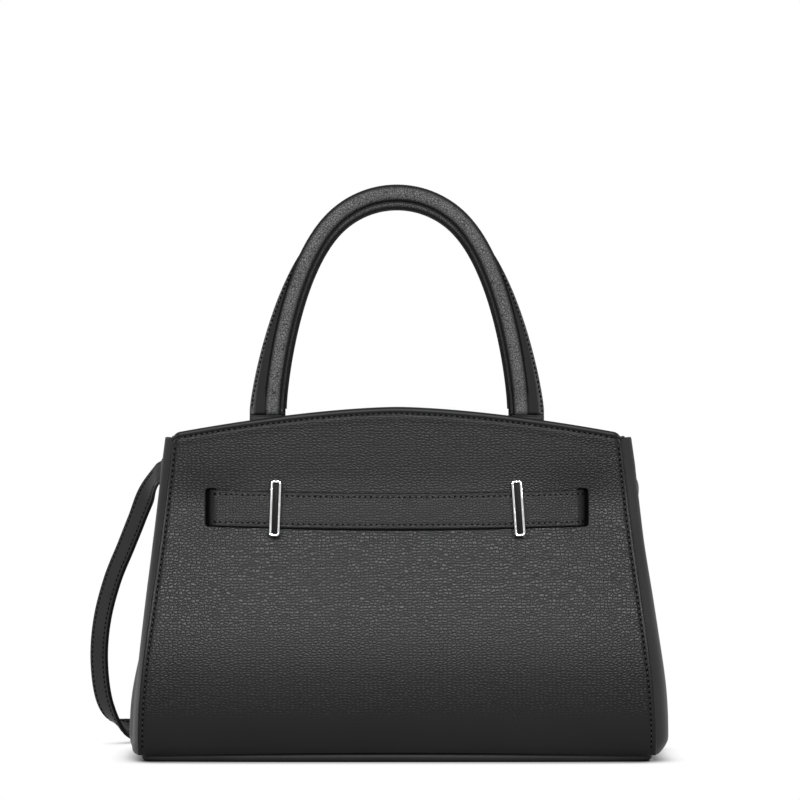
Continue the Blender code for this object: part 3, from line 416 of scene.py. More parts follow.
def spunThread(name, colour):
    # twisted thread: fine slanted sine bands, darker in their low parts: painted shade in the
    # twist's grooves
    mat, tree, place = newMaterial(name)
    twist = node(tree, "TexWave", Vector=place, Scale=900.0, Distortion=2.0,
                 bands_direction="DIAGONAL").outputs["Fac"]
    return finished(mat, twist, 0.4, 0.0001, Roughness=0.55, Specular_IOR_Level=0.2,
                    Base_Color=ramp(tree, twist, [(0.2, shade(colour, 0.7)), (0.8, colour)]))


# the panels' plain colour, darker than the grained one, is painted shade where they turn under at
# the bottom
panelLook = dict(colour=(0.0050, 0.0050, 0.0052), plain=(0.0042, 0.0042, 0.0044),
                 creaseShadeShare=0.02, space="2D", cells=(430, 380, 680), bendScale=320.0,
                 bendSize=0.0014, broadScale=18.0, uneven=0.80, crease=0.25, fineShare=0.03,
                 depth=0.00011, roughLow=0.78, roughHigh=0.285, roughPlain=0.42, specular=0.115)
# the handles' grained colour, far lighter than the panels', is a painted highlight; their plain
# colour, near black, is painted shade
rollPaintedLightLook = dict(panelLook, space="3D", uneven=1.0, cells=(760, 760, 760), bendScale=600.0,
                bendSize=0.0007, crease=0.16, depth=0.00022, colour=(0.0560, 0.0560, 0.0565),
                plain=(0.0012, 0.0012, 0.0013), roughHigh=0.33, roughPlain=0.60, specular=0.10)
beltLook = dict(panelLook, cells=(560, 700, 760), bendScale=600.0, bendSize=0.0006, crease=0.17,
                depth=0.00012, roughHigh=0.38, colour=(0.0060, 0.0060, 0.0062), specular=0.11)
sideLook = dict(colour=(0.0075, 0.0075, 0.0077), poreScale=2600.0, broadScale=25.0, bump=0.25,
                rough=0.46, specular=0.2)
panelLeather = grainLeather("panelLeather", panelLook)
rollPaintedLightLeather = grainLeather("rollPaintedLightLeather", rollPaintedLightLook)
beltLeather = grainLeather("beltLeather", beltLook)
sideLeather = smoothLeather("sideLeather", sideLook)
strapLeather = smoothLeather("strapLeather", dict(sideLook, poreScale=2200.0, broadScale=40.0,
                                                  bump=0.3))
edgePaint = glossPaint("edgePaint", (0.004, 0.004, 0.0041), 0.34, 400.0, 0.06)
enamel = glossPaint("enamel", (0.002, 0.002, 0.0023), 0.22, 60.0, 0.02)
# near black: painted shade in the needle holes, and the finish of the cutters
holeShade = glossPaint("holeShade", (0.0012, 0.0012, 0.0012), 0.8, 900.0, 0.0)
slotShade = smoothLeather("slotShade", dict(colour=(0.0012, 0.0012, 0.0012), poreScale=2400.0,
                          broadScale=40.0, bump=0.2, rough=0.8, specular=0.02))
thread = spunThread("thread", (0.009, 0.009, 0.0093))
liningCloth = wovenCloth("liningCloth", (0.13, 0.125, 0.12), 260.0)
cordCotton = wovenCloth("cordCotton", (0.6, 0.57, 0.5), 400.0)
fibreBoard = wovenCloth("fibreBoard", (0.25, 0.22, 0.18), 90.0)
steel = polishedSteel("steel", (0.56, 0.56, 0.57), 0.04)
print("materials ready")


# panels
panelCut = dict(width=0.2600, tall=0.180, across=170, up=110, band=0.0027, seamTop=0.0033,
                seamSide=0.0026, hemRise=0.0019, grooveDepth=0.00034, grooveWide=0.0006,
                puff=0.00042, rimRound=0.0009, cornerRound=0.0042, slotOuter=0.1028,
                slotWide=0.0064, slotTall=0.0209, slotZ=0.1364, slotCorner=0.0018, barX=0.0650,
                barZ=0.13532, postHole=0.0024, lipGrow=0.0001, ridgeTop=0.0052, ridgeSide=0.0050,
                 ridgeWide=0.0014, ridgeHigh=0.00020, ridgeLow=0.00018, grainAndShadeLow=0.014,
                 grainAndShadeFade=0.018, bandFade=0.0006, sideBand=0.0022, sideBandFade=0.0012)
edgeList = [0, 0.00015, 0.0004, 0.0008, 0.0013, 0.0018, 0.0022, 0.0026, 0.0030, 0.0034, 0.0038,
            0.0044, 0.0055]


def panelPoint(u, v, inset, side):
    # the bag's face: x widens to the hem, z rises to the top edge's curve and falls in a quarter
    # circle at its corners, y is the half depth less the inset and the hollows
    x = u * halfWidth(v)
    hemRise = panelCut["hemRise"] * (1 - u * u) * np.clip(1 - v, 0, 1) ** 8
    z = bag["hem"] + hemRise + v * (topHeight(u) - bag["hem"])
    near = np.clip(1 - halfWidth(v) * (1 - np.abs(u)) / panelCut["cornerRound"], 0, 1)
    z = z - panelCut["cornerRound"] * (1 - np.sqrt(1 - 0.98 * near * near)) * v ** 30
    y = side * (bodyDepth(u, z) - inset - (sagAt(x, z) if side < 0 else 0))
    return np.stack([x, y, z], axis=-1)


def facePoint(x, fromTop, lift, side):
    # a point given by x and its distance below the top edge: u and v found in four rounds
    v = 1 - fromTop / 0.17
    for _ in range(4):
        u = x / halfWidth(v)
        v = 1 - fromTop / (topHeight(u) - bag["hem"])
    return panelPoint(u, v, -lift, side)


def slotLoop(end, grow=0.0):
    # a slot's outline (x, z), grown a little for its lip
    loop = roundedLoop(panelCut["slotWide"] / 2 + grow, panelCut["slotTall"] / 2 + grow,
                       panelCut["slotCorner"] + grow, 8)
    return loop + (end * (panelCut["slotOuter"] - panelCut["slotWide"] / 2), panelCut["slotZ"])


def makePanel(name, side, cadNode):
    # the face with rounded rims, a groove and a puffed band along each seam, and plain edges
    width, tall, wide = panelCut["width"], panelCut["tall"], panelCut["grooveWide"]
    du = edgeSpots(width, edgeList, panelCut["across"])
    dv = edgeSpots(tall, edgeList, panelCut["up"])
    u, v = np.meshgrid(du / width * 2 - 1, dv / tall)
    fromSide = np.minimum(du, width - du)[None, :] + 0 * v
    fromTop = (tall - dv)[:, None] + 0 * u
    fromHem = dv[:, None] + 0 * u
    fall = np.maximum.reduce([edgeRound(away, panelCut["rimRound"])
                              for away in (fromSide, fromTop, fromHem)])
    groove = np.maximum(bell(fromTop, panelCut["seamTop"], wide),
                        bell(fromSide, panelCut["seamSide"], wide))
    rollTop = np.sin(math.pi * np.clip(fromTop / panelCut["seamTop"], 0, 1))
    rollSide = np.sin(math.pi * np.clip(fromSide / panelCut["seamSide"], 0, 1))
    puff = panelCut["puff"] * np.maximum(rollTop, 0.7 * rollSide)
    ridge = panelCut["ridgeWide"]
    puff = puff + panelCut["ridgeHigh"] * bell(fromTop, panelCut["ridgeTop"], ridge)
    puff = puff + panelCut["ridgeLow"] * bell(fromSide, panelCut["ridgeSide"], ridge)
    outer = panelPoint(u, v, fall + groove * panelCut["grooveDepth"] - puff, side)
    inner = panelPoint(u, v, bag["skin"] - 0.5 * fall, side)
    # below a low height the grain fades and the tone turns to the darker plain one, painted shade
    # where the panel turns under; plain bands also run along the top and side edges
    grainAndPaintedLight = (smoothStep((outer[..., 2] - panelCut["grainAndShadeLow"]) / panelCut["grainAndShadeFade"])
             * smoothStep((fromTop - panelCut["band"]) / panelCut["bandFade"]))
    beside = smoothStep((fromSide - panelCut["sideBand"]) / panelCut["sideBandFade"])
    grainAndPaintedLight = grainAndPaintedLight * (0.45 + 0.55 * beside)
    panel = sheetSolid(name, outer, inner, panelLeather, dict(grainAndPaintedLight=grainAndPaintedLight))
    if side < 0:
        tools = []
        for end in (-1, 1):
            tools.append(sweepSolid("slotTool", [standing(slotLoop(end), y)
                                                 for y in (-0.056, -0.040)], holeShade))
            ring = turned([(panelCut["postHole"], -0.006), (panelCut["postHole"], 0.006)], 24)
            ring = ring[..., [0, 2, 1]] + (end * panelCut["barX"], -0.048, panelCut["barZ"])
            tools.append(sweepSolid("postTool", ring, holeShade))
        cutAway(panel, tools)
    dress(panel, "bag", "grained_leather", cadNode)


makePanel("frontLeather", -1, "front_panel")
makePanel("backLeather", 1, "back_panel")


def makeSlotLip(name, end):
    # bead round a slot: a small oval carried round the slot's outline on the panel's face
    x, z = withoutRepeats(slotLoop(end, panelCut["lipGrow"])).T
    v = (z - bag["hem"]) / (topHeight(x / halfWidth(0.77)) - bag["hem"])
    path = panelPoint(x / halfWidth(v), v, 0.0003, -1)
    tangent = unit(np.roll(path, -1, axis=0) - np.roll(path, 1, axis=0))
    up = np.broadcast_to(np.array((0, -1.0, 0)), path.shape)
    loops = sweepLoops(path, unit(np.cross(tangent, up)), up, ovalLoop(0.00034, 0.00040, 8))
    dress(sweepSolid(name, loops, edgePaint, closed=True), "bag", "smooth_leather")


makeSlotLip("leftSlotLip", -1)
makeSlotLip("rightSlotLip", 1)
# near-black sheets behind the slots: painted shade where the bag's inside shows through them
slotShadeSheet = dict(low=0.0895, high=0.1110, tall=0.030, inset=0.0052, skin=0.0005)
for name, end in (("leftSlotShadeSheet", -1), ("rightSlotShadeSheet", 1)):
    x, z = np.meshgrid(np.linspace(slotShadeSheet["low"], slotShadeSheet["high"], 12),
                       panelCut["slotZ"] + np.linspace(-0.5, 0.5, 16) * slotShadeSheet["tall"])
    reach = depthAt(x, z) - slotShadeSheet["inset"]
    outer, inner = wallSkins(end * x, z, -reach, -(reach - slotShadeSheet["skin"]))
    dress(sheetSolid(name, outer, inner, slotShade), "bag", "smooth_leather")
print("panels ready")


# stitches: a row of small arched threads with a needle hole between them, drawn as a near-black
# capsule: painted shade in the hole
stitchCut = dict(pitch=0.0030, length=0.0020, radius=0.00030, arch=0.00016, hole=0.0015,
                 holeRadius=0.00062, look=0.0004)
rows = {}


def stitchRow(group, path, out, pitch=stitchCut["pitch"]):
    # resamples a path at the pitch and remembers places, directions and outward normals
    path = np.asarray(path)
    steps = np.linalg.norm(np.diff(path, axis=0), axis=1)
    along = np.concatenate([[0], np.cumsum(steps)])
    spots = np.arange(pitch / 2, along[-1], pitch)

    def sample(values, at):
        return np.stack([np.interp(at, along, values[:, k]) for k in range(3)], axis=-1)

    place = sample(path, spots)
    look = stitchCut["look"]
    tangent = unit(sample(path, spots + look) - sample(path, spots - look))
    normal = sample(np.broadcast_to(out, path.shape), spots)
    normal = unit(normal - (normal * tangent).sum(-1, keepdims=True) * tangent)
    rows.setdefault(group, []).append((place, tangent, normal, pitch))


def capsules(place, tangent, normal, length, radius, arch, sides=6):
    # one capsule for each place: a circle that swells and shrinks along its length
    s = np.array([-1, -0.82, -0.4, 0.4, 0.82, 1])
    swell = np.array([0.25, 0.75, 1, 1, 0.75, 0.25])
    turn = np.arange(sides) * 2 * math.pi / sides
    side = np.cross(tangent, normal)
    a = (s * length / 2)[:, None] + 0 * turn
    b = radius * swell[:, None] * np.cos(turn)
    c = radius * swell[:, None] * np.sin(turn) + (arch * (1 - s * s) - radius * 0.45)[:, None]
    points = (place[:, None, None, :] + a[None, ..., None] * tangent[:, None, None, :]
              + b[None, ..., None] * side[:, None, None, :]
              + c[None, ..., None] * normal[:, None, None, :])
    count = len(s) * sides
    starts = np.arange(len(place))[:, None, None] * count
    quads = (gridFaces(len(s), sides, closeCols=True)[None] + starts).reshape(-1, 4)
    caps = np.stack([np.arange(sides)[::-1], np.arange(sides) + count - sides])
    return points.reshape(-1, 3), quads, (caps[None] + starts).reshape(-1, sides)


def sewn(name, group, body, slotName):
    # all the threads and needle holes of one body, as two objects; a hole is half a pitch on
    cut = stitchCut
    for part, finish, on, size in (
            ("Thread", thread, 0.0, (cut["length"], cut["radius"], cut["arch"])),
            ("HoleShade", holeShade, 0.5, (cut["hole"], cut["holeRadius"], 0.0))):
        points, faces, start = [], [], 0
        for place, tangent, normal, pitch in rows[group]:
            some, quads, caps = capsules(place + tangent * pitch * on, tangent, normal, *size)
            points.append(some)
            faces += [*(quads + start), *(caps + start)]
            start += len(some)
        dress(makeObject(name + part, np.concatenate(points), faces, finish), body, slotName)


for side in (-1, 1):
    across = np.linspace(-0.1165, 0.1165, 240)
    out = np.array((0, side, 0.05))
    stitchRow("bag", facePoint(across, panelCut["seamTop"], -0.00022, side), out)
    v = 1 - np.linspace(0.006, 0.176, 200) / panelCut["tall"]
    for end in (-1, 1):
        u = end * (1 - 2 * panelCut["seamSide"] / panelCut["width"])
        stitchRow("bag", panelPoint(u + 0 * v, v, 0.00022, side), out)


# gussets
gusset = dict(skin=0.0013, flange=0.0100, bulgeTop=0.0054, bulgeFoot=0.0062, heel=0.0100,
              dip=0.0040, round=0.0036, foldDepth=0.0220, foldShare=0.59, foldStart=0.12,
              across=101, up=90, tall=0.168, edge=0.0007, ripple=0.0007,
              rippleAt=0.55, rippleWide=0.18,
              rollLeft=(-0.0024, -0.0026, 0.0010, 0.0020, 0.0016),
              rollRight=(0.0016, 0.0022, 0.0030, 0.0040, 0.0034))


def sideRoll(s, v, side):
    # what the leather beside the fold stands prouder than the frame's side, larger on the right
    more = np.interp(v, (0.0, 0.23, 0.667, 0.917, 1.0), gusset["rollRight"] if side > 0
                     else gusset["rollLeft"])
    rim = smoothStep(v / 0.05)
    return more * rim * smoothStep((np.abs(s) - 0.42) / 0.22) * (1 - np.abs(s) ** 10)


def sideX(s, v):
    # half width plus a bulge that dies at the corners, less the fold's bell curve, deeper upwards
    rise = v * (bag["corner"] - bag["hem"])
    heel = np.clip(rise / gusset["heel"], 0.0, 1.0)
    full = gusset["bulgeFoot"] + (gusset["bulgeTop"] - gusset["bulgeFoot"]) * v
    bulge = full * (0.25 + 0.75 * np.sqrt(1 - (1 - heel) ** 2)) * (1 - s ** 8)
    start = gusset["foldStart"]
    deep = gusset["foldDepth"] * smoothStep((v - start) / (0.95 - start))
    return halfWidth(v) + bulge - deep * np.exp(-(np.abs(s) / gusset["foldShare"]) ** 3)


def sidePoint(s, v, side, inset):
    # s runs over the half depth and v up to a top edge that dips in the middle and at its ends
    top = bag["corner"] - gusset["dip"] * (1 - s * s) - gusset["round"] * np.abs(s) ** 8
    z = bag["hem"] + v * (top - bag["hem"])
    reach = bodyDepth(1.0, z) - bag["skin"] - bag["gap"] - inset
    return np.stack([side * (sideX(s, v) - inset) + 0 * s, s * reach, z], axis=-1)


def makeGusset(name, side, cadNode):
    # the folded side, with a flange of four columns behind each panel
    tall = gusset["tall"]
    dv = edgeSpots(tall, [0, 0.0002, 0.0005, 0.001, 0.0016], gusset["up"])
    s, v = np.meshgrid(np.sin(np.linspace(-1, 1, gusset["across"]) * math.pi / 2), dv / tall)
    fall = edgeRound(np.minimum(dv, tall - dv), gusset["edge"])[:, None]
    # soft creases: shallow ripples beside the fold, stronger to the mouth
    beside = bell(np.abs(s), gusset["rippleAt"], gusset["rippleWide"])
    ripple = gusset["ripple"] * v * np.sin(v * 23 + 5 * s) * beside
    way = np.array((0.25, 0.50, 0.75, 1.0))
    grids = []
    for inset, sign in ((0.0, 1), (gusset["skin"], -1)):
        grid = sidePoint(s, v, side, inset)
        grid[..., 0] += side * (sideRoll(s, v, side) + ripple - sign * fall)
        ends = []
        for column, end, share in ((0, -1, way[::-1]), (-1, 1, way)):
            flange = np.repeat(grid[:, [column]], len(way), axis=1)
            flange[..., 0] -= side * (gusset["flange"] - inset) * share
            u = 1 - share * gusset["flange"] / bag["bottomHalf"]
            flange[..., 1] = end * (bodyDepth(u, flange[..., 2]) - bag["skin"] - bag["gap"] - inset)
            ends.append(flange)
        grids.append(np.concatenate([ends[0], grid, ends[1]], axis=1))
    dress(sheetSolid(name, *grids, sideLeather, sharp=50.0), "bag", "smooth_leather", cadNode)


makeGusset("leftSide", -1, "left_gusset")
makeGusset("rightSide", 1, "right_gusset")
print("gussets ready")


# base, board, lining, facings
base = dict(skin=0.0018, rim=0.0055, edge=0.0030, board=0.0020, lip=0.0003, lipFall=0.0004)
baseX = halfWidth(base["rim"] / bag["corner"]) - gusset["skin"] - bag["gap"]
baseY = float(bodyDepth(1.0, bag["hem"])) - bag["skin"] - gusset["skin"] - 2 * bag["gap"]


def baseLoop(inset, z):
    # rounded rectangle, bowed outwards at front and back by the panels' own fourth power
    corner = base["edge"] + base["skin"]
    loop = roundedLoop(baseX - inset, baseY - inset, corner, 9)
    mid = np.linspace(1, -1, 33)[1:-1] * (baseX - inset - corner)
    far = np.stack([mid, np.full(len(mid), baseY - inset)], axis=-1)
    loop = withoutRepeats(np.concatenate([loop[:9], far, loop[9:27], -far, loop[27:]]))
    loop[:, 1] += np.sign(loop[:, 1]) * bag["sideFall"] * (1 - np.abs(loop[:, 0] / baseX) ** 4)
    return np.concatenate([loop, np.full((len(loop), 1), z)], axis=1)


edge, skin, rimZ = base["edge"], base["skin"], base["rim"]
turns = [step / 8 * math.pi / 2 for step in range(9)]
loops = [baseLoop(edge * (1 - math.sin(a)), edge * (1 - math.cos(a))) for a in turns]
loops += [baseLoop(inset, z) for inset, z in (
    (0.0, rimZ - base["lipFall"]), (base["lip"], rimZ), (skin - base["lip"], rimZ),
    (skin, rimZ - base["lipFall"]), (skin, edge + skin / 2), (skin * 2, skin))]
dress(sweepSolid("baseLeather", loops, sideLeather), "bag", "smooth_leather", "base_panel")

lining = dict(skin=0.0008, inset=0.0059, sideGap=0.0020, top=0.1519, low=0.012)


def liningLoop(z, layer):
    # straight front and back walls, joined by walls that follow the gussets' fold
    reach = float(bodyDepth(0.8, z)) - lining["inset"] - layer
    sideReach = float(bodyDepth(1.0, z)) - bag["skin"] - bag["gap"] - gusset["skin"]
    tray = base["skin"] + bag["gap"] + layer + 0.36 * (base["edge"] + base["skin"])
    low = z < base["rim"] + bag["gap"]
    reach = baseY - tray if low else reach
    y = np.linspace(-1, 1, 49) * reach
    s = np.clip(y / sideReach, -1, 1)
    v = (z - bag["hem"]) / (bag["corner"] - gusset["dip"] * (1 - s * s) - bag["hem"])
    x = sideX(s, v) - gusset["skin"] - lining["sideGap"] - layer
    x = np.minimum(x, baseX - tray) if low else x
    right = np.stack([x, y, np.full_like(x, z)], axis=-1)
    mid = np.linspace(-1, 1, 30)[1:-1] * x[0]
    back = np.stack([-mid, np.full(len(mid), reach), np.full(len(mid), z)], axis=-1)
    return np.concatenate([right, back, right[::-1] * (-1, 1, 1), back * (-1, -1, 1)])


floorZ = base["skin"] + base["board"] + 2 * bag["gap"]
levels = np.concatenate([[floorZ, base["rim"] + 0.0001],
                         np.linspace(lining["low"], lining["top"], 26)])
loops = [liningLoop(z, 0) for z in levels]
loops += [liningLoop(z, lining["skin"]) for z in levels[:0:-1]]
loops.append(liningLoop(floorZ + lining["skin"], lining["skin"]))
dress(sweepSolid("liningTub", loops, liningCloth), "bag", "lining_cloth", "lining")

facing = dict(skin=0.0012, low=0.1522, drop=0.0006, half=0.1105, seam=0.0034,
              seamWide=0.0006, press=0.00025, edge=0.0006)


def makeFacing(name, side, cadNode):
    # band hung from just under the panel's top edge, a skin's thickness inside it
    x, w = np.meshgrid(np.linspace(-facing["half"], facing["half"], 120),
                       edgeSpots(1.0, [0, 0.01, 0.03, 0.06], 14))
    high = topHeight(x / bag["topHalf"]) - facing["drop"]
    z = facing["low"] + w * (high - facing["low"])
    fall = edgeRound(np.minimum(w, 1 - w) * 0.030, facing["edge"])
    seam = facing["press"] * bell((1 - w) * (high - facing["low"]), facing["seam"],
                                  facing["seamWide"])
    reach = depthAt(x, z, side) - bag["skin"] - bag["gap"]
    outer, inner = wallSkins(x, z, side * (reach - 0.5 * fall),
                             side * (reach - facing["skin"] + 0.5 * fall + seam))
    stitchRow("bag", inner[-5][2:-2] + (0, side * 0.0001, 0), (0, -side, 0.0))
    dress(sheetSolid(name, outer, inner, sideLeather), "bag", "smooth_leather", cadNode)


makeFacing("frontFacing", -1, "front_facing")
makeFacing("backFacing", 1, "back_facing")

pocket = dict(width=0.150, tall=0.085, skin=0.0012, foot=0.045, round=0.0006, hem=0.012)
u, w = np.meshgrid(edgeSpots(pocket["width"], [0, 0.0003, 0.0008], 40),
                   edgeSpots(pocket["tall"], [0, 0.0003, 0.0008], 30))
z = pocket["foot"] + w
reach = bodyDepth(0.8, z) - lining["inset"] - lining["skin"] - bag["gap"]
fall = np.maximum(edgeRound(np.minimum(u, pocket["width"] - u), pocket["round"]),
                  edgeRound(np.minimum(w, pocket["tall"] - w), pocket["round"]))
hemBead = 0.0005 * smoothStep((w - pocket["tall"] + pocket["hem"]) / 0.002)
outer, inner = wallSkins(u - pocket["width"] / 2, z, reach - 0.3 * fall,
                         reach - pocket["skin"] + 0.7 * fall - hemBead)
dress(sheetSolid("slipPocket", outer, inner, liningCloth), "bag", "lining_cloth", "inner_pocket")
print("inside ready")


# belt
belt = dict(width=0.0193, skin=0.0026, z=0.1364, droop=0.0018, bend=0.0034, slot=0.0050,
            slack=0.0012, tail=0.0021, seam=0.0022, corner=0.0009, press=0.00028, crown=0.00035,
            seamWide=0.0005)


def beltZ(x):
    # parabola: the belt's middle line sags a little between the slots
    return belt["z"] - belt["droop"] * (1 - (x / panelCut["slotOuter"]) ** 2)


def beltLine():
    # along the front at a gap, fuller between the bars, then a quarter turn back into each slot:
    # x, lift, and the outward direction's x and y
    bend, centre = belt["bend"], bag["gap"] + belt["skin"] / 2
    bendX = panelCut["slotOuter"] - belt["slot"] + bag["gap"] + belt["skin"] / 2 - bend
    x = np.linspace(-bendX, bendX, 150)
    between = np.clip(1 - np.abs(x) / panelCut["barX"], 0, 1)
    full = centre + belt["slack"] * np.sin(math.pi / 2 * between)
    run = np.stack([x, full, 0 * x, 1 + 0 * x], axis=-1)
    a = np.linspace(0, math.pi / 2, 9)[1:]
    turn = np.stack([bendX + bend * np.sin(a), centre - bend * (1 - np.cos(a)), np.sin(a),
                     np.cos(a)], axis=-1)
    last = np.array([(bendX + bend, -bag["skin"] - belt["tail"], 1.0, 0.0)])
    right = np.concatenate([turn, last])
    return np.concatenate([right[::-1] * (-1, 1, -1, 1), run, right])


line = beltLine()
section = withoutRepeats(roundedLoop(belt["skin"] / 2, belt["width"] / 2, belt["corner"], 6))
# extra points up the belt's face, pressed in along the two seams
face = np.linspace(-1, 1, 41)[1:-1] * (belt["width"] / 2 - belt["corner"])
fromSeam = np.abs(face) - belt["width"] / 2 + belt["seam"]
press = belt["press"] * bell(fromSeam, 0.0, belt["seamWide"])
crown = belt["crown"] * (1 - (face / (belt["width"] / 2)) ** 2)
section = np.concatenate([np.stack([belt["skin"] / 2 - press + crown, face], axis=-1), section])
section = section[np.argsort(np.arctan2(section[:, 1], section[:, 0]))]
offset = section[:, 0][None, :]
z = beltZ(line[:, :1]) + section[:, 1][None, :]
x = line[:, :1] + line[:, 2:3] * offset
reach = line[:, 1:2] + line[:, 3:4] * offset
points, = wallSkins(x, z, -(depthAt(line[:, :1] + 0 * z, z, -1) + reach))
beltBody = sweepSolid("beltBody", points, beltLeather,
                      attributes=dict(grainAndPaintedLight=np.ones(points.shape[:2])))
dress(beltBody, "bag", "grained_leather", "belt")
seen = line[4:-4]
over = belt["skin"] / 2 - 0.00005
for sign in (-1, 1):
    z = beltZ(seen[:, 0]) + sign * (belt["width"] / 2 - belt["seam"])
    reach = seen[:, 1] + seen[:, 3] * over
    path, = wallSkins(seen[:, 0] + seen[:, 2] * over, z, -(depthAt(seen[:, 0], z, -1) + reach))
    stitchRow("bag", path, np.stack([seen[:, 2], -seen[:, 3], 0.1 + 0 * z], axis=-1))
print("belt ready")


# turning bars
bars = dict(length=0.0300, width=0.0057, depth=0.0026, corner=0.0017, rim=0.00115, sink=0.0009,
            post=0.0008, shank=0.0010, shankDeep=0.0055, round=0.00055, play=0.00005)


def barFrame(end):
    # on the leather's face, tilted back with it
    x, z = panelCut["barX"], panelCut["barZ"]
    deep, ahead, behind = (float(depthAt(x, z + rise * belt["width"] / 2)) for rise in (0, 1, -1))
    tilt = math.atan2(behind - ahead, belt["width"])
    return Matrix.Translation((end * x, -deep, z)) @ Matrix.Rotation(-tilt, 4, "X")


def barLoops(profile, least):
    # stadium loops inset and stacked outwards by the profile
    a, b, r = bars["width"] / 2, bars["length"] / 2, bars["corner"]
    return [standing(roundedLoop(a - inset, b - inset, max(r - inset, least), 8), -y)
            for inset, y in profile]


def makeBar(name, end, lean, body, nodes):
    # rounded at the rim and sunk in the middle, where the inlay lies
    low = bag["gap"] + belt["skin"] + bag["gap"] + bars["post"] + bag["gap"]
    high = low + bars["depth"]
    rim, round, sunk = bars["rim"], bars["round"], high - bars["sink"]
    profile = [(0.0006, low), (0.0001, low + 0.0004), (0.0, low + 0.0008)]
    for step in range(7):
        angle = step / 6 * math.pi / 2
        profile.append((round * (1 - math.cos(angle)), high - round * (1 - math.sin(angle))))
    profile += [(rim - 0.0002, high), (rim, high - 0.0001), (rim, sunk)]
    bar = sweepSolid(name, barLoops(profile, 0.0004), steel, sharp=60.0)
    inset = rim + bars["play"]
    profile = [(inset, sunk + bars["play"]), (inset, high - 0.00030),
               (inset + 0.0002, high - 0.00018), (inset + 0.0008, high - 0.00012)]
    inlay = sweepSolid(name + "Inlay", barLoops(profile, 0.0003), enamel, sharp=60.0)
    shank = turned([(bars["shank"], -bars["shankDeep"]), (bars["shank"], low + 0.0002)], 24)
    shank = sweepSolid(name + "Shank", shank[..., [0, 2, 1]] * (1, -1, 1), steel)
    turn = barFrame(end) @ Matrix.Rotation(lean, 4, "Y")
    for obj in (bar, inlay, shank):
        obj.data.transform(turn)
    dress(bar, body, "polished_steel", nodes[0])
    dress(inlay, body, "black_enamel", nodes[1])
    dress(shank, body, "polished_steel")


makeBar("leftBar", -1, math.radians(1.8), "left_turn_bar", ("left_bar", "left_bar_inlay"))
makeBar("rightBar", 1, math.radians(-3.8), "right_turn_bar", ("right_bar", "right_bar_inlay"))
print("bars ready")


# handles
handle = dict(apex=0.3051, arch=0.0483, half=math.radians(46.0), foot=0.0668, shoulder=0.036,
              footReach=0.012, hinge=0.1886, roll=0.0047, thin=0.0027, flat=0.0050, blend=0.0090,
              flange=0.0076, flangeStart=0.2700, flangeHalf=0.0015, seamHalf=0.0007, steps=70,
              plane=0.041727, seamIn=0.0012, pitch=0.0026, edgeOut=0.00015)
# flange from its tip to the roll: share of the way, and height in half thicknesses
flangeShape = ((0.0, 0.0), (0.02, 0.55), (0.07, 0.85), (0.16, 1.0), (0.4, 1.02), (0.7, 0.95),
               (0.92, 0.90), (1.0, 1.0))
feet = [(sideName, side, endName, end) for sideName, side in (("front", -1), ("back", 1))
        for endName, end in (("Left", -1), ("Right", 1))]


def handleLine():
    # circular arc from the apex, a Bezier curve that ends upright at the hinge, and a short rounded
    # tail under it, mirrored to both sides: places, normals and how far under the hinge
    centre = handle["apex"] - handle["arch"]
    a = np.linspace(0, handle["half"], 36)
    arc = np.stack([handle["arch"] * np.sin(a), centre + handle["arch"] * np.cos(a)], axis=-1)
    way = np.array((math.cos(handle["half"]), -math.sin(handle["half"])))
    foot = np.array((handle["foot"], handle["hinge"]))
    t = (np.linspace(0, 1, handle["steps"] + 1) ** 0.85)[1:, None]
    half = np.concatenate([arc, bezier(arc[-1], arc[-1] + handle["shoulder"] * way,
                                       foot + (0, handle["footReach"]), foot, t)])
    drops = handle["thin"] * np.sin(np.radians((15.0, 30.0, 45.0, 60.0, 72.0)))
    tail = np.stack([np.full(len(drops), handle["foot"]), handle["hinge"] - drops], axis=-1)
    right = np.concatenate([half, tail])
    path = np.concatenate([right[:0:-1] * (-1, 1), right])
    drop = np.concatenate([drops[::-1], np.zeros(2 * len(half) - 1), drops])
    tangent = unit(np.gradient(path, axis=0))
    tangent[:7] = (0, 1)
    tangent[-7:] = (0, -1)
    return path, np.stack([-tangent[:, 1], tangent[:, 0]], axis=-1), drop


def rollSizes(path, drop):
    # half thickness, flange reach and flange half thickness along the handle
    rise = np.maximum(0, path[:, 1] - handle["hinge"])
    thick = handle["thin"] + (handle["roll"] - handle["thin"]) * smoothStep(
        (rise - handle["flat"]) / handle["blend"])
    thick = np.where(drop > 0, np.sqrt(np.maximum(1e-9, handle["thin"] ** 2 - drop ** 2)), thick)
    grow = np.clip((handle["flangeStart"] - path[:, 1])
                   / (handle["flangeStart"] - handle["hinge"]), 0, 1)
    least = handle["seamHalf"]
    edge = least + (handle["flangeHalf"] - least) * np.clip(4 * grow, 0, 1)
    return thick, handle["flange"] * grow ** 0.85, np.minimum(edge, thick * 0.7)


def besideLine(path, normal, over, y):
    # a place beside the handle's line: that far along its normal, at that depth
    return np.stack([path[..., 0] + over * normal[..., 0], y + 0 * path[..., 0] + 0 * over,
                     path[..., 1] + over * normal[..., 1]], axis=-1)


def mirrored(upper, sign, middle):
    # the loop's upper half, the point at the back and the lower half
    return np.concatenate([upper, middle + np.zeros((len(upper), 1)), sign * upper[:, :0:-1]],
                          axis=1)


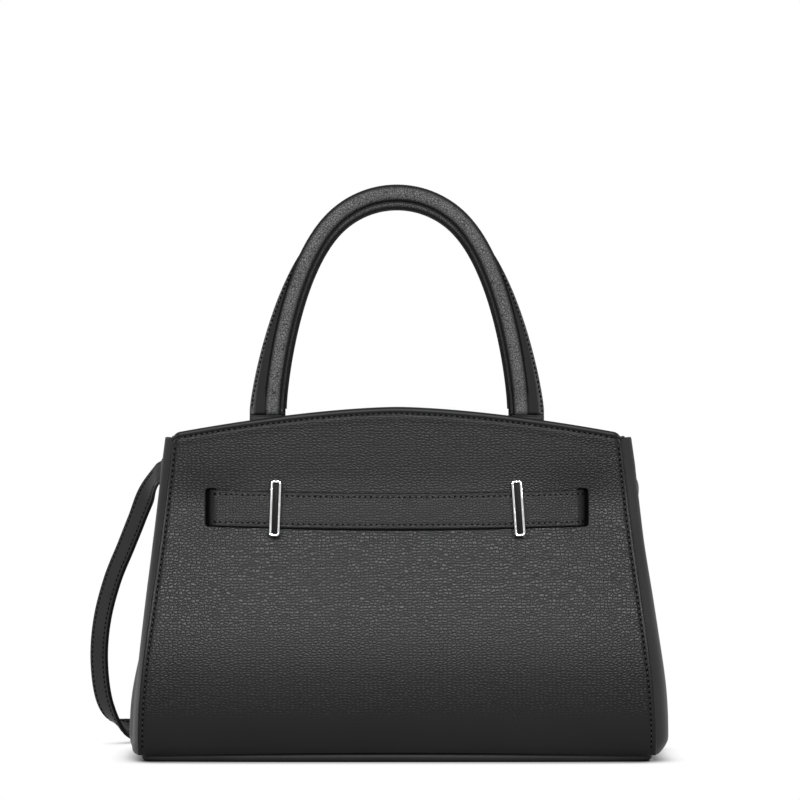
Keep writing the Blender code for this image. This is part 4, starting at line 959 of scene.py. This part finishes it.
def makeHandle(name, side, body, cadNode):
    # a flattened circle with a flange, carried along the arch; on the roll's face and the flange's
    # rim a grained colour far lighter than the panels', a painted highlight, and in the groove and
    # at the back a smooth, near black one, painted shade
    path, normal, drop = handleLine()
    thick, reach, edge = rollSizes(path, drop)
    start = np.arcsin(edge / thick)
    roll, plane = handle["roll"], side * handle["plane"]
    upperA, upperB, upperGrainAndPaintedLight = [], [], []
    # the flange's rim takes the lighter tone, a painted highlight, and the rest of it the dark one,
    # painted shade in the groove
    for q, rise in flangeShape:
        upperA.append(roll + reach - (reach + roll - roll * np.cos(start)) * q)
        upperB.append(edge * rise)
        upperGrainAndPaintedLight.append(0 * edge + 0.8 * (q < 0.3))
    # the roll takes the lighter tone where it faces front and back, a painted highlight, and the
    # dark one towards the groove and the inside, painted shade
    for step in range(1, 25):
        angle = start + (math.pi - start) * step / 25
        upperA.append(roll * np.cos(angle))
        upperB.append(thick * np.sin(angle))
        upperGrainAndPaintedLight.append(smoothStep((np.sin(angle) - 0.58) / 0.34))
    a = mirrored(np.stack(upperA, axis=1), 1, -roll)
    b = mirrored(np.stack(upperB, axis=1), -1, 0)
    grainAndPaintedLight = mirrored(np.stack(upperGrainAndPaintedLight, axis=1), 1, 0)
    sleeve = sweepSolid(name, besideLine(path[:, None], normal[:, None], a, plane + b), rollPaintedLightLeather,
                        sharp=50.0, attributes=dict(grainAndPaintedLight=grainAndPaintedLight))
    dress(sleeve, body, "grained_leather", cadNode)
    # painted edge where the leather meets on the inside of the arch
    ends = slice(6, len(path) - 6)
    line3 = besideLine(path[ends], normal[ends], -(roll + handle["edgeOut"]), plane)
    across = np.broadcast_to(np.array((0, 1.0, 0)), line3.shape)
    up = np.stack([normal[ends, 0], 0 * normal[ends, 0], normal[ends, 1]], axis=-1)
    loops = sweepLoops(line3, across, up, roundedLoop(0.0009, 0.00055, 0.0003, 3))
    dress(sweepSolid(name + "Seam", loops, edgePaint), body, "smooth_leather")
    # seams on both faces of the flange
    low = (reach > 0.0011) & (drop == 0)
    for face in (-1, 1):
        for pick in (low & (path[:, 0] < 0), low & (path[:, 0] > 0)):
            row = besideLine(path[pick], normal[pick], roll + reach[pick] - handle["seamIn"],
                             plane + face * edge[pick] * 0.98)
            stitchRow(body, row, (0, face, 0), handle["pitch"])
    sewn(name + "Sewn", body, body, "grained_leather")


makeHandle("frontHandle", -1, "front_carry", "front_handle")
makeHandle("backHandle", 1, "back_carry", "back_handle")

# the last share sets how much of the handles' lighter tone, a painted highlight, the tabs and
# cradles take
tab = dict(skin=0.0030, deep=0.0340, cradle=0.0030, cradleSkin=0.0009, seam=0.0020, seamTop=0.030,
           grainAndPaintedLight=0.2, edge=0.0013, press=0.00025, seamWide=0.0006)
tabSpots = [0, 0.0002, 0.0006, 0.0012, 0.0018]
lowX = handle["foot"] - handle["roll"]
highX = handle["foot"] + handle["roll"] + handle["flange"]
top = handle["hinge"] - handle["thin"] - bag["gap"]
for sideName, side, endName, end in feet:
    wide = highX - lowX
    dx = edgeSpots(wide, tabSpots, 9)
    dz = edgeSpots(tab["deep"], tabSpots, 20)
    x, z = np.meshgrid(lowX + dx, top - tab["deep"] + dz)
    near = np.minimum(np.minimum(dx, wide - dx)[None, :], np.minimum(dz, tab["deep"] - dz)[:, None])
    fall = edgeRound(near, tab["edge"])
    press = tab["press"] * bell(near, tab["seam"], tab["seamWide"])
    reach = depthAt(x, z, side) - bag["skin"] - bag["gap"] - facing["skin"] - bag["gap"]
    outer, inner = wallSkins(end * x, z, side * (reach - fall),
                             side * (reach - tab["skin"] + fall + press))
    flat = sheetSolid(sideName + endName + "Tab", outer, inner, rollPaintedLightLeather,
                      dict(grainAndPaintedLight=np.full(x.shape, tab["grainAndPaintedLight"])))
    dress(flat, "bag", "grained_leather", f"{sideName}_handle_{endName.lower()}_tab")
    near, far = tab["seam"], wide - tab["seam"]
    t = np.linspace(0, 4, 90)
    x = lowX + np.interp(t, range(5), (near, far, far, near, near))
    z = top - tab["deep"] + np.interp(t, range(5), (near, near, tab["seamTop"], tab["seamTop"],
                                                    near))
    y = depthAt(x, z, side) - bag["skin"] - 2 * bag["gap"] - facing["skin"] - tab["skin"] + 0.0001
    stitchRow("bag", wallSkins(end * x, z, side * y)[0], (0, -side, 0), handle["pitch"])


def makeCradle(name, side, end):
    # part of a ring of leather round the hinge line, from the tab's top to the hinge's height
    angle = np.linspace(math.radians(-104), math.radians(-34), 14)
    loop = np.concatenate([
        np.stack([radius * np.cos(some), radius * np.sin(some)], axis=-1)
        for radius, some in ((tab["cradle"], angle),
                             (tab["cradle"] + tab["cradleSkin"], angle[::-1]))])
    wide = handle["roll"] * 2 + handle["flange"]
    spots = edgeSpots(wide, [0, 0.0003, 0.0008], 16)
    x = end * (handle["foot"] - handle["roll"] + spots)
    shrink = edgeRound(np.minimum(spots, wide - spots), 0.0008)[:, None]
    y, z = (loop[None, :, k] - np.sign(loop[None, :, k] - loop.mean(axis=0)[k]) * shrink * 0.3
            for k in (0, 1))
    points, = wallSkins(x[:, None] + 0 * y, handle["hinge"] + z, side * (handle["plane"] - y))
    ring = sweepSolid(name, points, rollPaintedLightLeather,
                      attributes=dict(grainAndPaintedLight=np.full(y.shape, tab["grainAndPaintedLight"])))
    dress(ring, "bag", "grained_leather")


for sideName, side, endName, end in feet:
    makeCradle(sideName + endName + "Cradle", side, end)
print("handles ready")


# magnetic closure: a disc with a rounded rim, with a stud in front and its socket behind
magnet = dict(radius=0.0088, deep=0.0022, rim=0.0008, z=0.168, stud=0.0030, studDeep=0.0016)
seat = float(depthAt(0.0, magnet["z"] + magnet["radius"]))
seat -= bag["skin"] + facing["skin"] + 2 * bag["gap"]
for name, side, cadNode in (("frontMagnet", -1, "front_magnet"), ("backMagnet", 1, "back_magnet")):
    r, d, m, stud = magnet["radius"], magnet["deep"], magnet["rim"], magnet["stud"]
    a = np.linspace(0, math.pi / 2, 6)
    rim = np.stack([r - m + m * np.cos(a), d - m + m * np.sin(a)], axis=-1)
    profile = [(0.0001, 0.0), (r - 0.0002, 0.0), (r, 0.0002)] + rim.tolist()
    if side < 0:
        high = d + magnet["studDeep"]
        profile += [(stud + 0.0003, d), (stud, d + 0.0002), (stud, high - 0.0003),
                    (stud - 0.0003, high), (0.0001, high)]
    else:
        hole = stud + bag["gap"]
        profile += [(hole + 0.0002, d), (hole, d - 0.0002), (hole, m), (0.0001, m)]
    disc = sweepSolid(name, turned(profile, 64), steel)
    turn = Matrix.Rotation(math.radians(90.0 * side), 4, "X")
    disc.data.transform(Matrix.Translation((0, side * seat, magnet["z"])) @ turn)
    dress(disc, "bag", "polished_steel", cadNode)


# side tabs, rings, snap hooks
ring = dict(z=0.1660, x=0.1135, radius=0.0090, wire=0.0012)
hook = dict(pitch={-1: math.radians(-22.0), 1: math.radians(-38.0)}, slant=math.radians(35.0),
            half=0.0039, length=0.0096, section=0.0024, breadth=0.0030, nose=0.0012,
            barrel=0.0026, barrelLong=0.0030, barrelIn=0.0014, eyeDeep=0.0057, eyeWire=0.0011,
            stem=0.0008, head=0.0016, lug=0.0024)
strap = dict(width=0.0130, skin=0.0024, foldSkin=0.0015, foldLong=0.0042, spread=0.1675,
             reach=0.2900, seam=0.0021, seamWide=0.0005, press=0.00020, edge=0.0007,
             pitch=0.0028)


def hookFrame(side):
    # origin on the ring's wire, and the axes along, across and through the hook
    pitch, slant = hook["pitch"][side], hook["slant"]
    radial = np.array((0, math.cos(pitch), math.sin(pitch)))
    out = np.array((float(side), 0, 0))
    along = math.cos(slant) * radial + math.sin(slant) * out
    across = math.cos(slant) * out - math.sin(slant) * radial
    origin = np.array((side * ring["x"], 0, ring["z"])) + ring["radius"] * radial
    return origin, along, across, np.cross(along, across)


def placed(points, side):
    # hook coordinates (u, v, w) to the bag's frame
    origin, along, across, breadth = hookFrame(side)
    points = np.asarray(points)
    return (origin + points[..., :1] * along + points[..., 1:2] * across
            + points[..., 2:] * breadth)


def hookSpots():
    # places along the hook: centres of its two ends, its shoulder and the eye's bar
    ringEnd = hook["half"] - hook["section"] / 2 - ring["wire"] - bag["gap"]
    farEnd = ringEnd + hook["length"]
    shoulder = farEnd + hook["half"] + hook["section"] / 2
    bar = shoulder + bag["gap"] + hook["barrelLong"] + hook["eyeDeep"]
    return ringEnd, farEnd, shoulder, bar


def makeRingAndHook(word, side):
    # ring: a circle of wire; hook: an oval bar bent round both ends; then the barrel, eye and stem
    def steelPiece(part, loops, *nodes, closed=False):
        dress(sweepSolid(word + part, loops, steel, closed=closed), "sling", "polished_steel",
              *nodes)

    angle = np.arange(96) * 2 * math.pi / 96
    path = np.stack([np.full(96, side * ring["x"]), ring["radius"] * np.cos(angle),
                     ring["z"] + ring["radius"] * np.sin(angle)], axis=-1)
    radial = np.stack([0 * angle, np.cos(angle), np.sin(angle)], axis=-1)
    axis = np.broadcast_to(np.array((1.0, 0, 0)), path.shape)
    circle = ovalLoop(1.0, 1.0, 16)
    steelPiece("Ring", sweepLoops(path, radial, axis, circle * ring["wire"]), word + "_ring",
               closed=True)

    ringEnd, farEnd, shoulder, barAt = hookSpots()
    half = hook["half"]
    bends = [np.stack([end + half * np.cos(a), half * np.sin(a)], axis=-1) for end, a in (
        (ringEnd, math.pi / 2 + math.pi * np.linspace(0, 1, 25)),
        (farEnd, -math.pi / 2 + math.pi * np.linspace(0, 1, 25)))]
    route = np.concatenate([[(ringEnd + hook["nose"], half)], *bends,
                            [(farEnd - hook["lug"], half)]])
    along = unit(np.gradient(route, axis=0))
    flat, out = flatSweep(route, np.stack([-along[:, 1], along[:, 0]], axis=-1),
                          roundedLoop(hook["section"] / 2, hook["breadth"] / 2, 0.0009, 5))
    steelPiece("HookBody", placed(np.stack([flat[..., 0], flat[..., 1], out], axis=-1), side),
               word + "_hook")
    c, near, far = hook["barrel"], shoulder, shoulder + hook["barrelLong"]
    core, back = hook["stem"] + 0.0003, shoulder - hook["barrelIn"]
    profile = [(core, back), (c - 0.0006, back), (c - 0.0001, near - 0.0006), (c, near),
               (c, far - 0.0004), (c - 0.0004, far), (core, far)]
    steelPiece("Barrel", placed(turned(profile, 40)[..., [2, 0, 1]], side), closed=True)

    near = shoulder + hook["barrelLong"] + bag["gap"] + hook["eyeWire"]
    halfBar = strap["width"] / 2 + 2 * bag["gap"] + hook["eyeWire"]
    outline = withoutRepeats(roundedLoop((barAt - near) / 2, halfBar, hook["eyeWire"] * 1.6, 9))
    t = unit(np.roll(outline, -1, axis=0) - np.roll(outline, 1, axis=0))
    flat, out = flatSweep(outline, np.stack([t[:, 1], -t[:, 0]], axis=-1),
                          hook["eyeWire"] * circle)
    loops = np.stack([(barAt + near) / 2 + flat[..., 0], out, flat[..., 1]], axis=-1)
    steelPiece("Eye", placed(loops, side), word + "_hook_eye", closed=True)
    head, stem = hook["head"], hook["stem"]
    top = farEnd + math.sqrt((half - hook["section"] / 2) ** 2 - head ** 2) - 0.00045
    profile = [(0.0001, top - 0.0008), (head - 0.0003, top - 0.0008), (head, top - 0.0005),
               (head, top - 0.0002), (head - 0.0003, top), (stem, top), (stem, near),
               (0.0001, near)]
    steelPiece("Stem", placed(turned(profile, 32)[..., [2, 0, 1]], side))


makeRingAndHook("left", -1)
makeRingAndHook("right", 1)

sideTab = dict(width=0.0080, skin=0.0026, foot=0.1230, knee=0.1370, wall=0.0014, clear=0.0008,
               seam=0.0013, pitch=0.0024)


def makeSideTab(name, side, cadNode):
    # rounded bar up the gusset's valley and by a Bezier curve to the ring, then round its wire
    loopZ = ring["z"] - ring["radius"]
    loopX = side * ring["x"]
    radius = ring["wire"] + bag["gap"] + sideTab["wall"] / 2
    zs = np.linspace(sideTab["foot"], sideTab["knee"], 14)
    v = (zs - bag["hem"]) / (bag["corner"] - gusset["dip"] - bag["hem"])
    xs = side * (sideX(0.0, v) + sideTab["clear"] + sideTab["skin"] / 2)
    up = np.stack([xs, zs], axis=-1)
    end = np.array((loopX, loopZ - radius))
    path = np.concatenate([up, bezier(up[-1], up[-1] + (up[-1] - up[-2]) * 5,
                                      end - np.array((0, 0.005)), end,
                                      np.linspace(0, 1, 12)[1:, None])])
    along = unit(np.gradient(path, axis=0))
    flat, out = flatSweep(path, np.stack([along[:, 1], -along[:, 0]], axis=-1),
                          roundedLoop(sideTab["skin"] / 2, sideTab["width"] / 2, 0.0006, 4))
    loops = np.stack([flat[..., 0], out, flat[..., 1]], axis=-1)
    dress(sweepSolid(name, loops, sideLeather), "bag", "smooth_leather", cadNode)
    angle = np.arange(48) * 2 * math.pi / 48
    centre = np.stack([loopX + radius * np.sin(angle), 0 * angle, loopZ + radius * np.cos(angle)],
                      axis=-1)
    out = np.stack([np.sin(angle), 0 * angle, np.cos(angle)], axis=-1)
    wide = np.broadcast_to(np.array((0, 1.0, 0)), centre.shape)
    oval = roundedLoop(sideTab["wall"] / 2, sideTab["width"] / 2 - 0.0002, 0.0004, 4)
    loops = sweepLoops(centre, out, wide, oval)
    dress(sweepSolid(name + "Loop", loops, sideLeather, closed=True), "bag", "smooth_leather")
    outX = xs + side * (sideTab["skin"] / 2 - 0.00005)
    for edge in (-1, 1):
        y = np.full(len(zs), edge * (sideTab["width"] / 2 - sideTab["seam"]))
        stitchRow("bag", wallSkins(outX, zs, y)[0], (side, 0, 0), sideTab["pitch"])


makeSideTab("leftTab", -1, "left_side_tab")
makeSideTab("rightTab", 1, "right_side_tab")
sewn("bagSewn", "bag", "bag", "grained_leather")
print("rings and hooks ready")


# shoulder strap: shares of spread, reach and rise, and how far it has turned to face outwards
leftRoute = [(0.838, 0.160, 0.838, 0.62), (0.872, 0.172, 0.750, 0.92), (0.907, 0.184, 0.661, 1.00),
             (0.954, 0.197, 0.541, 1.00), (0.989, 0.207, 0.401, 1.00), (1.000, 0.214, 0.260, 1.00),
             (0.985, 0.224, 0.120, 0.90), (0.943, 0.238, 0.034, 0.65), (0.884, 0.272, 0.003, 0.30),
             (0.824, 0.345, 0.000, 0.08), (0.770, 0.466, 0.000, 0.00), (0.675, 0.638, 0.000, 0.00),
             (0.507, 0.810, 0.000, 0.00), (0.269, 0.948, 0.000, 0.00), (0.000, 1.000, 0.000, 0.00)]
rightRoute = [(0.269, 0.948, 0.000, 0.00), (0.507, 0.810, 0.000, 0.00), (0.669, 0.655, 0.000, 0.00),
              (0.746, 0.483, 0.000, 0.00), (0.765, 0.362, 0.009, 0.10), (0.745, 0.293, 0.085, 0.40),
              (0.733, 0.268, 0.250, 0.70), (0.725, 0.255, 0.430, 0.95), (0.728, 0.236, 0.574, 0.95),
              (0.742, 0.214, 0.665, 0.80), (0.768, 0.193, 0.730, 0.60), (0.785, 0.160, 0.790, 0.35)]
leftTurned = (0.720, -0.694, 0.0)
rightTurned = (-0.900, -0.436, 0.0)


def foldPath():
    # from the strap's tail, round the eye's bar and back out along the strap
    barAt = hookSpots()[3]
    layer = (bag["gap"] + strap["foldSkin"]) / 2
    radius = hook["eyeWire"] + bag["gap"] + strap["foldSkin"] / 2
    near = barAt + radius * 1.5
    angle = np.radians(np.linspace(-55.0, -305.0, 33))
    turn = np.stack([barAt + radius * np.cos(angle), radius * np.sin(angle)], axis=-1)
    out = np.linspace(near + strap["foldLong"], near, 7)
    first = np.stack([out, np.full(7, -layer)], axis=-1)
    return np.concatenate([first, turn, first[::-1] * (1, -1)])


def strapLine(steps=16):
    # Catmull-Rom curve through the route's keys, joined to the fold at each end
    floor = strap["width"] / 2
    keys = []
    for side, route, facing3 in ((-1, leftRoute, leftTurned), (1, rightRoute, rightTurned)):
        for x, y, z, turn in route:
            width = (1 - turn) * np.array((0, 0, -1.0)) + turn * np.array(facing3)
            keys.append((side * x * strap["spread"], y * strap["reach"],
                         floor + z * (ring["z"] - floor), *width))
    keys = np.array(keys)
    folds, ends = [], []
    for side, beside in ((-1, keys[0]), (1, keys[-1])):
        origin, along, across, breadth = hookFrame(side)
        breadth = -breadth * np.sign(breadth[2])
        flat = foldPath()
        spots = origin + flat[:, :1] * along + flat[:, 1:] * across
        fold = np.concatenate([spots, np.broadcast_to(breadth, spots.shape)], axis=1)
        gone = beside[:3] - fold[-1, :3]
        straight = unit(0.35 * unit(fold[-1, :3] - fold[-2, :3]) + 0.65 * unit(gone))
        folds.append(fold)
        ends.append(np.array([(*(beside[:3] - straight * 2 * np.linalg.norm(gone)),
                               *fold[-1, 3:])]))
    keys = np.concatenate([ends[0], folds[0][-1:], keys, folds[1][-1:], ends[1]])
    t = np.linspace(0, 1, steps, endpoint=False)[None, :, None]
    a, b, c, d = (keys[k:len(keys) - 3 + k][:, None, :] for k in range(4))
    curve = 0.5 * (2 * b + (c - a) * t + (2 * a - 5 * b + 4 * c - d) * t ** 2
                   + (3 * b - a - 3 * c + d) * t ** 3)
    line = np.concatenate([folds[0][:-1], curve.reshape(-1, 6), folds[1][::-1]])
    points = line[:, :3].copy()
    along = unit(np.gradient(points, axis=0))
    width = line[:, 3:]
    width = unit(width - (width * along).sum(1, keepdims=True) * along)
    normal = np.cross(along, width)
    # lifted where it would sink into the floor
    lowest = points[:, 2] - np.abs(width[:, 2]) * strap["width"] / 2
    lowest -= np.abs(normal[:, 2]) * strap["skin"] / 2
    points[:, 2] += np.maximum(0.0, -lowest)
    fold = len(folds[0])
    order = np.arange(len(points))
    grow = np.minimum(order - fold, len(points) - 1 - order - fold) / steps
    thick = strap["foldSkin"] + (strap["skin"] - strap["foldSkin"]) * smoothStep(grow)
    return points, width, normal, thick, fold


# bevelled section, pressed in along its two seams
points, width, normal, thick, fold = strapLine()
across = np.linspace(-1, 1, 25)
half = strap["width"] / 2
bead = np.clip(1 - (1 - np.abs(across)) * half / strap["edge"], 0, 1)
fall = (1 - np.sqrt(1 - bead ** 2)) * 0.45
press = strap["press"] * bell(half - np.abs(across) * half, strap["seam"], strap["seamWide"])
top = thick[:, None] * (0.5 - fall[None, :]) - press[None, :]
upper = np.stack([np.broadcast_to(across * half, top.shape), top], axis=-1)
section = np.concatenate([upper, (upper * (1, -1))[:, ::-1]], axis=1)
strapBody = sweepSolid("strapBody", sweepLoops(points, width, normal, section), strapLeather)
dress(strapBody, "sling", "smooth_leather", "shoulder_strap")
run = slice(fold + 2, len(points) - fold - 2)
for edge, word in ((-1, "Low"), (1, "High")):
    # painted edge: a thin oval bar along each side of the strap
    oval = ovalLoop(0.00028 + 0 * thick[:, None], 0.40 * thick[:, None], 8)
    loops = sweepLoops(points + width * edge * (half - 0.00012), width, normal, oval)
    dress(sweepSolid("strapRim" + word, loops, edgePaint), "sling", "smooth_leather")
    for face in (-1, 1):
        row = points + width * edge * (half - strap["seam"])
        row = row + normal * face * (thick[:, None] / 2 - 0.00012)
        stitchRow("sling", row[run], normal[run] * face, strap["pitch"])
sewn("strapSewn", "sling", "sling", "smooth_leather")
print("strap ready")

# finishes on the CAD nodes that stay
kept = dict(front_handle_core=cordCotton, back_handle_core=cordCotton, base_board=fibreBoard)
for word in ("left", "right"):
    for part in ("bar_post", "bar_washer", "gate", "gate_pin"):
        kept[word + "_" + part] = steel
for nodeName, finish in kept.items():
    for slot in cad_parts[nodeName].material_slots:
        slot.material = finish

# floor, light and camera
studio = dict(key=8.0, keySize=(2.6, 0.50), keyPlace=(0.05, -1.45, 1.45), band=190.0,
              bandSize=(3.4, 0.20), bandPlace=(0.0, -2.55, 1.00), fill=1.2, worldDiffuse=0.12,
              floorGrey=0.5, shadowReach=0.014)


def seenPlainly(tree):
    # 1 for rays from the camera, mirrors and glass, 0 for light that scatters
    rays = node(tree, "LightPath").outputs
    some = calc(tree, "MAXIMUM", rays["Is Camera Ray"], rays["Is Glossy Ray"])
    return calc(tree, "MAXIMUM", some, rays["Is Transmission Ray"])


def plainWorld():
    # white where it is seen, and dim as a light
    world = bpy.data.worlds.new("studio")
    bpy.context.scene.world = world
    world.use_nodes = True
    tree = world.node_tree
    strength = calc(tree, "MAXIMUM", seenPlainly(tree), studio["worldDiffuse"])
    fill(tree, tree.nodes["Background"], dict(Color=(1, 1, 1, 1), Strength=strength))


def plainFloor():
    # glows white where it is seen, with a painted shadow darker close to the bag, and scatters as a
    # grey floor
    mesh = bpy.data.meshes.new("floor")
    mesh.from_pydata([(-6, -6, 0), (6, -6, 0), (6, 10, 0), (-6, 10, 0)], [], [(0, 1, 2, 3)])
    floor = linked("floor", mesh)
    mat = bpy.data.materials.new("floorWhite")
    mat.use_nodes = True
    tree = mat.node_tree
    tree.nodes.clear()
    # ambient occlusion darkens the glow near the bag: a painted shadow
    near = node(tree, "AmbientOcclusion", samples=24, Distance=studio["shadowReach"])
    glowWithPaintedShadow = node(tree, "Emission", Color=ramp(tree, near.outputs["AO"], [
        (0.12, 0.0), (0.45, 0.45), (0.72, 0.86), (0.97, 1.0)]))
    grey = studio["floorGrey"]
    plain = node(tree, "BsdfDiffuse", Color=(grey, grey, grey, 1))
    mix = node(tree, "MixShader")
    for socket, value in zip(mix.inputs, (seenPlainly(tree), plain.outputs[0], glowWithPaintedShadow.outputs[0])):
        plug(tree, socket, value)
    node(tree, "OutputMaterial", Surface=mix.outputs[0])
    mesh.materials.append(mat)


def areaLight(name, place, aim, size, power):
    lamp = bpy.data.lights.new(name, "AREA")
    lamp.shape = "RECTANGLE"
    lamp.size, lamp.size_y = size
    lamp.energy = power
    obj = linked(name, lamp)
    obj.location = place
    obj.rotation_euler = (Vector(aim) - Vector(place)).to_track_quat("-Z", "Y").to_euler()


plainWorld()
plainFloor()
areaLight("keyLight", studio["keyPlace"], (0, 0, 0.14), studio["keySize"], studio["key"])
areaLight("bandLight", studio["bandPlace"], (0, 0, 0.09), studio["bandSize"], studio["band"])
areaLight("fillLight", (-1.6, -0.9, 0.9), (0, 0, 0.14), (1.0, 1.0), studio["fill"])
areaLight("rimLight", (1.7, -0.4, 0.8), (0, 0, 0.14), (0.8, 1.2), studio["fill"])

shot = dict(distance=2.2, frontY=-0.060, height=0.194, acrossX=0.0017, frameWide=0.4264,
            sensor=36.0)
camera = bpy.data.cameras.new("camera")
camera.sensor_width = shot["sensor"]
camera.lens = shot["sensor"] * shot["distance"] / shot["frameWide"]
view = linked("camera", camera)
view.location = (shot["acrossX"], shot["frontY"] - shot["distance"], shot["height"])
view.rotation_euler = (math.radians(90.0), 0, 0)
bpy.context.scene.camera = view
bpy.context.scene.view_settings.view_transform = "Standard"

print("scene ready")
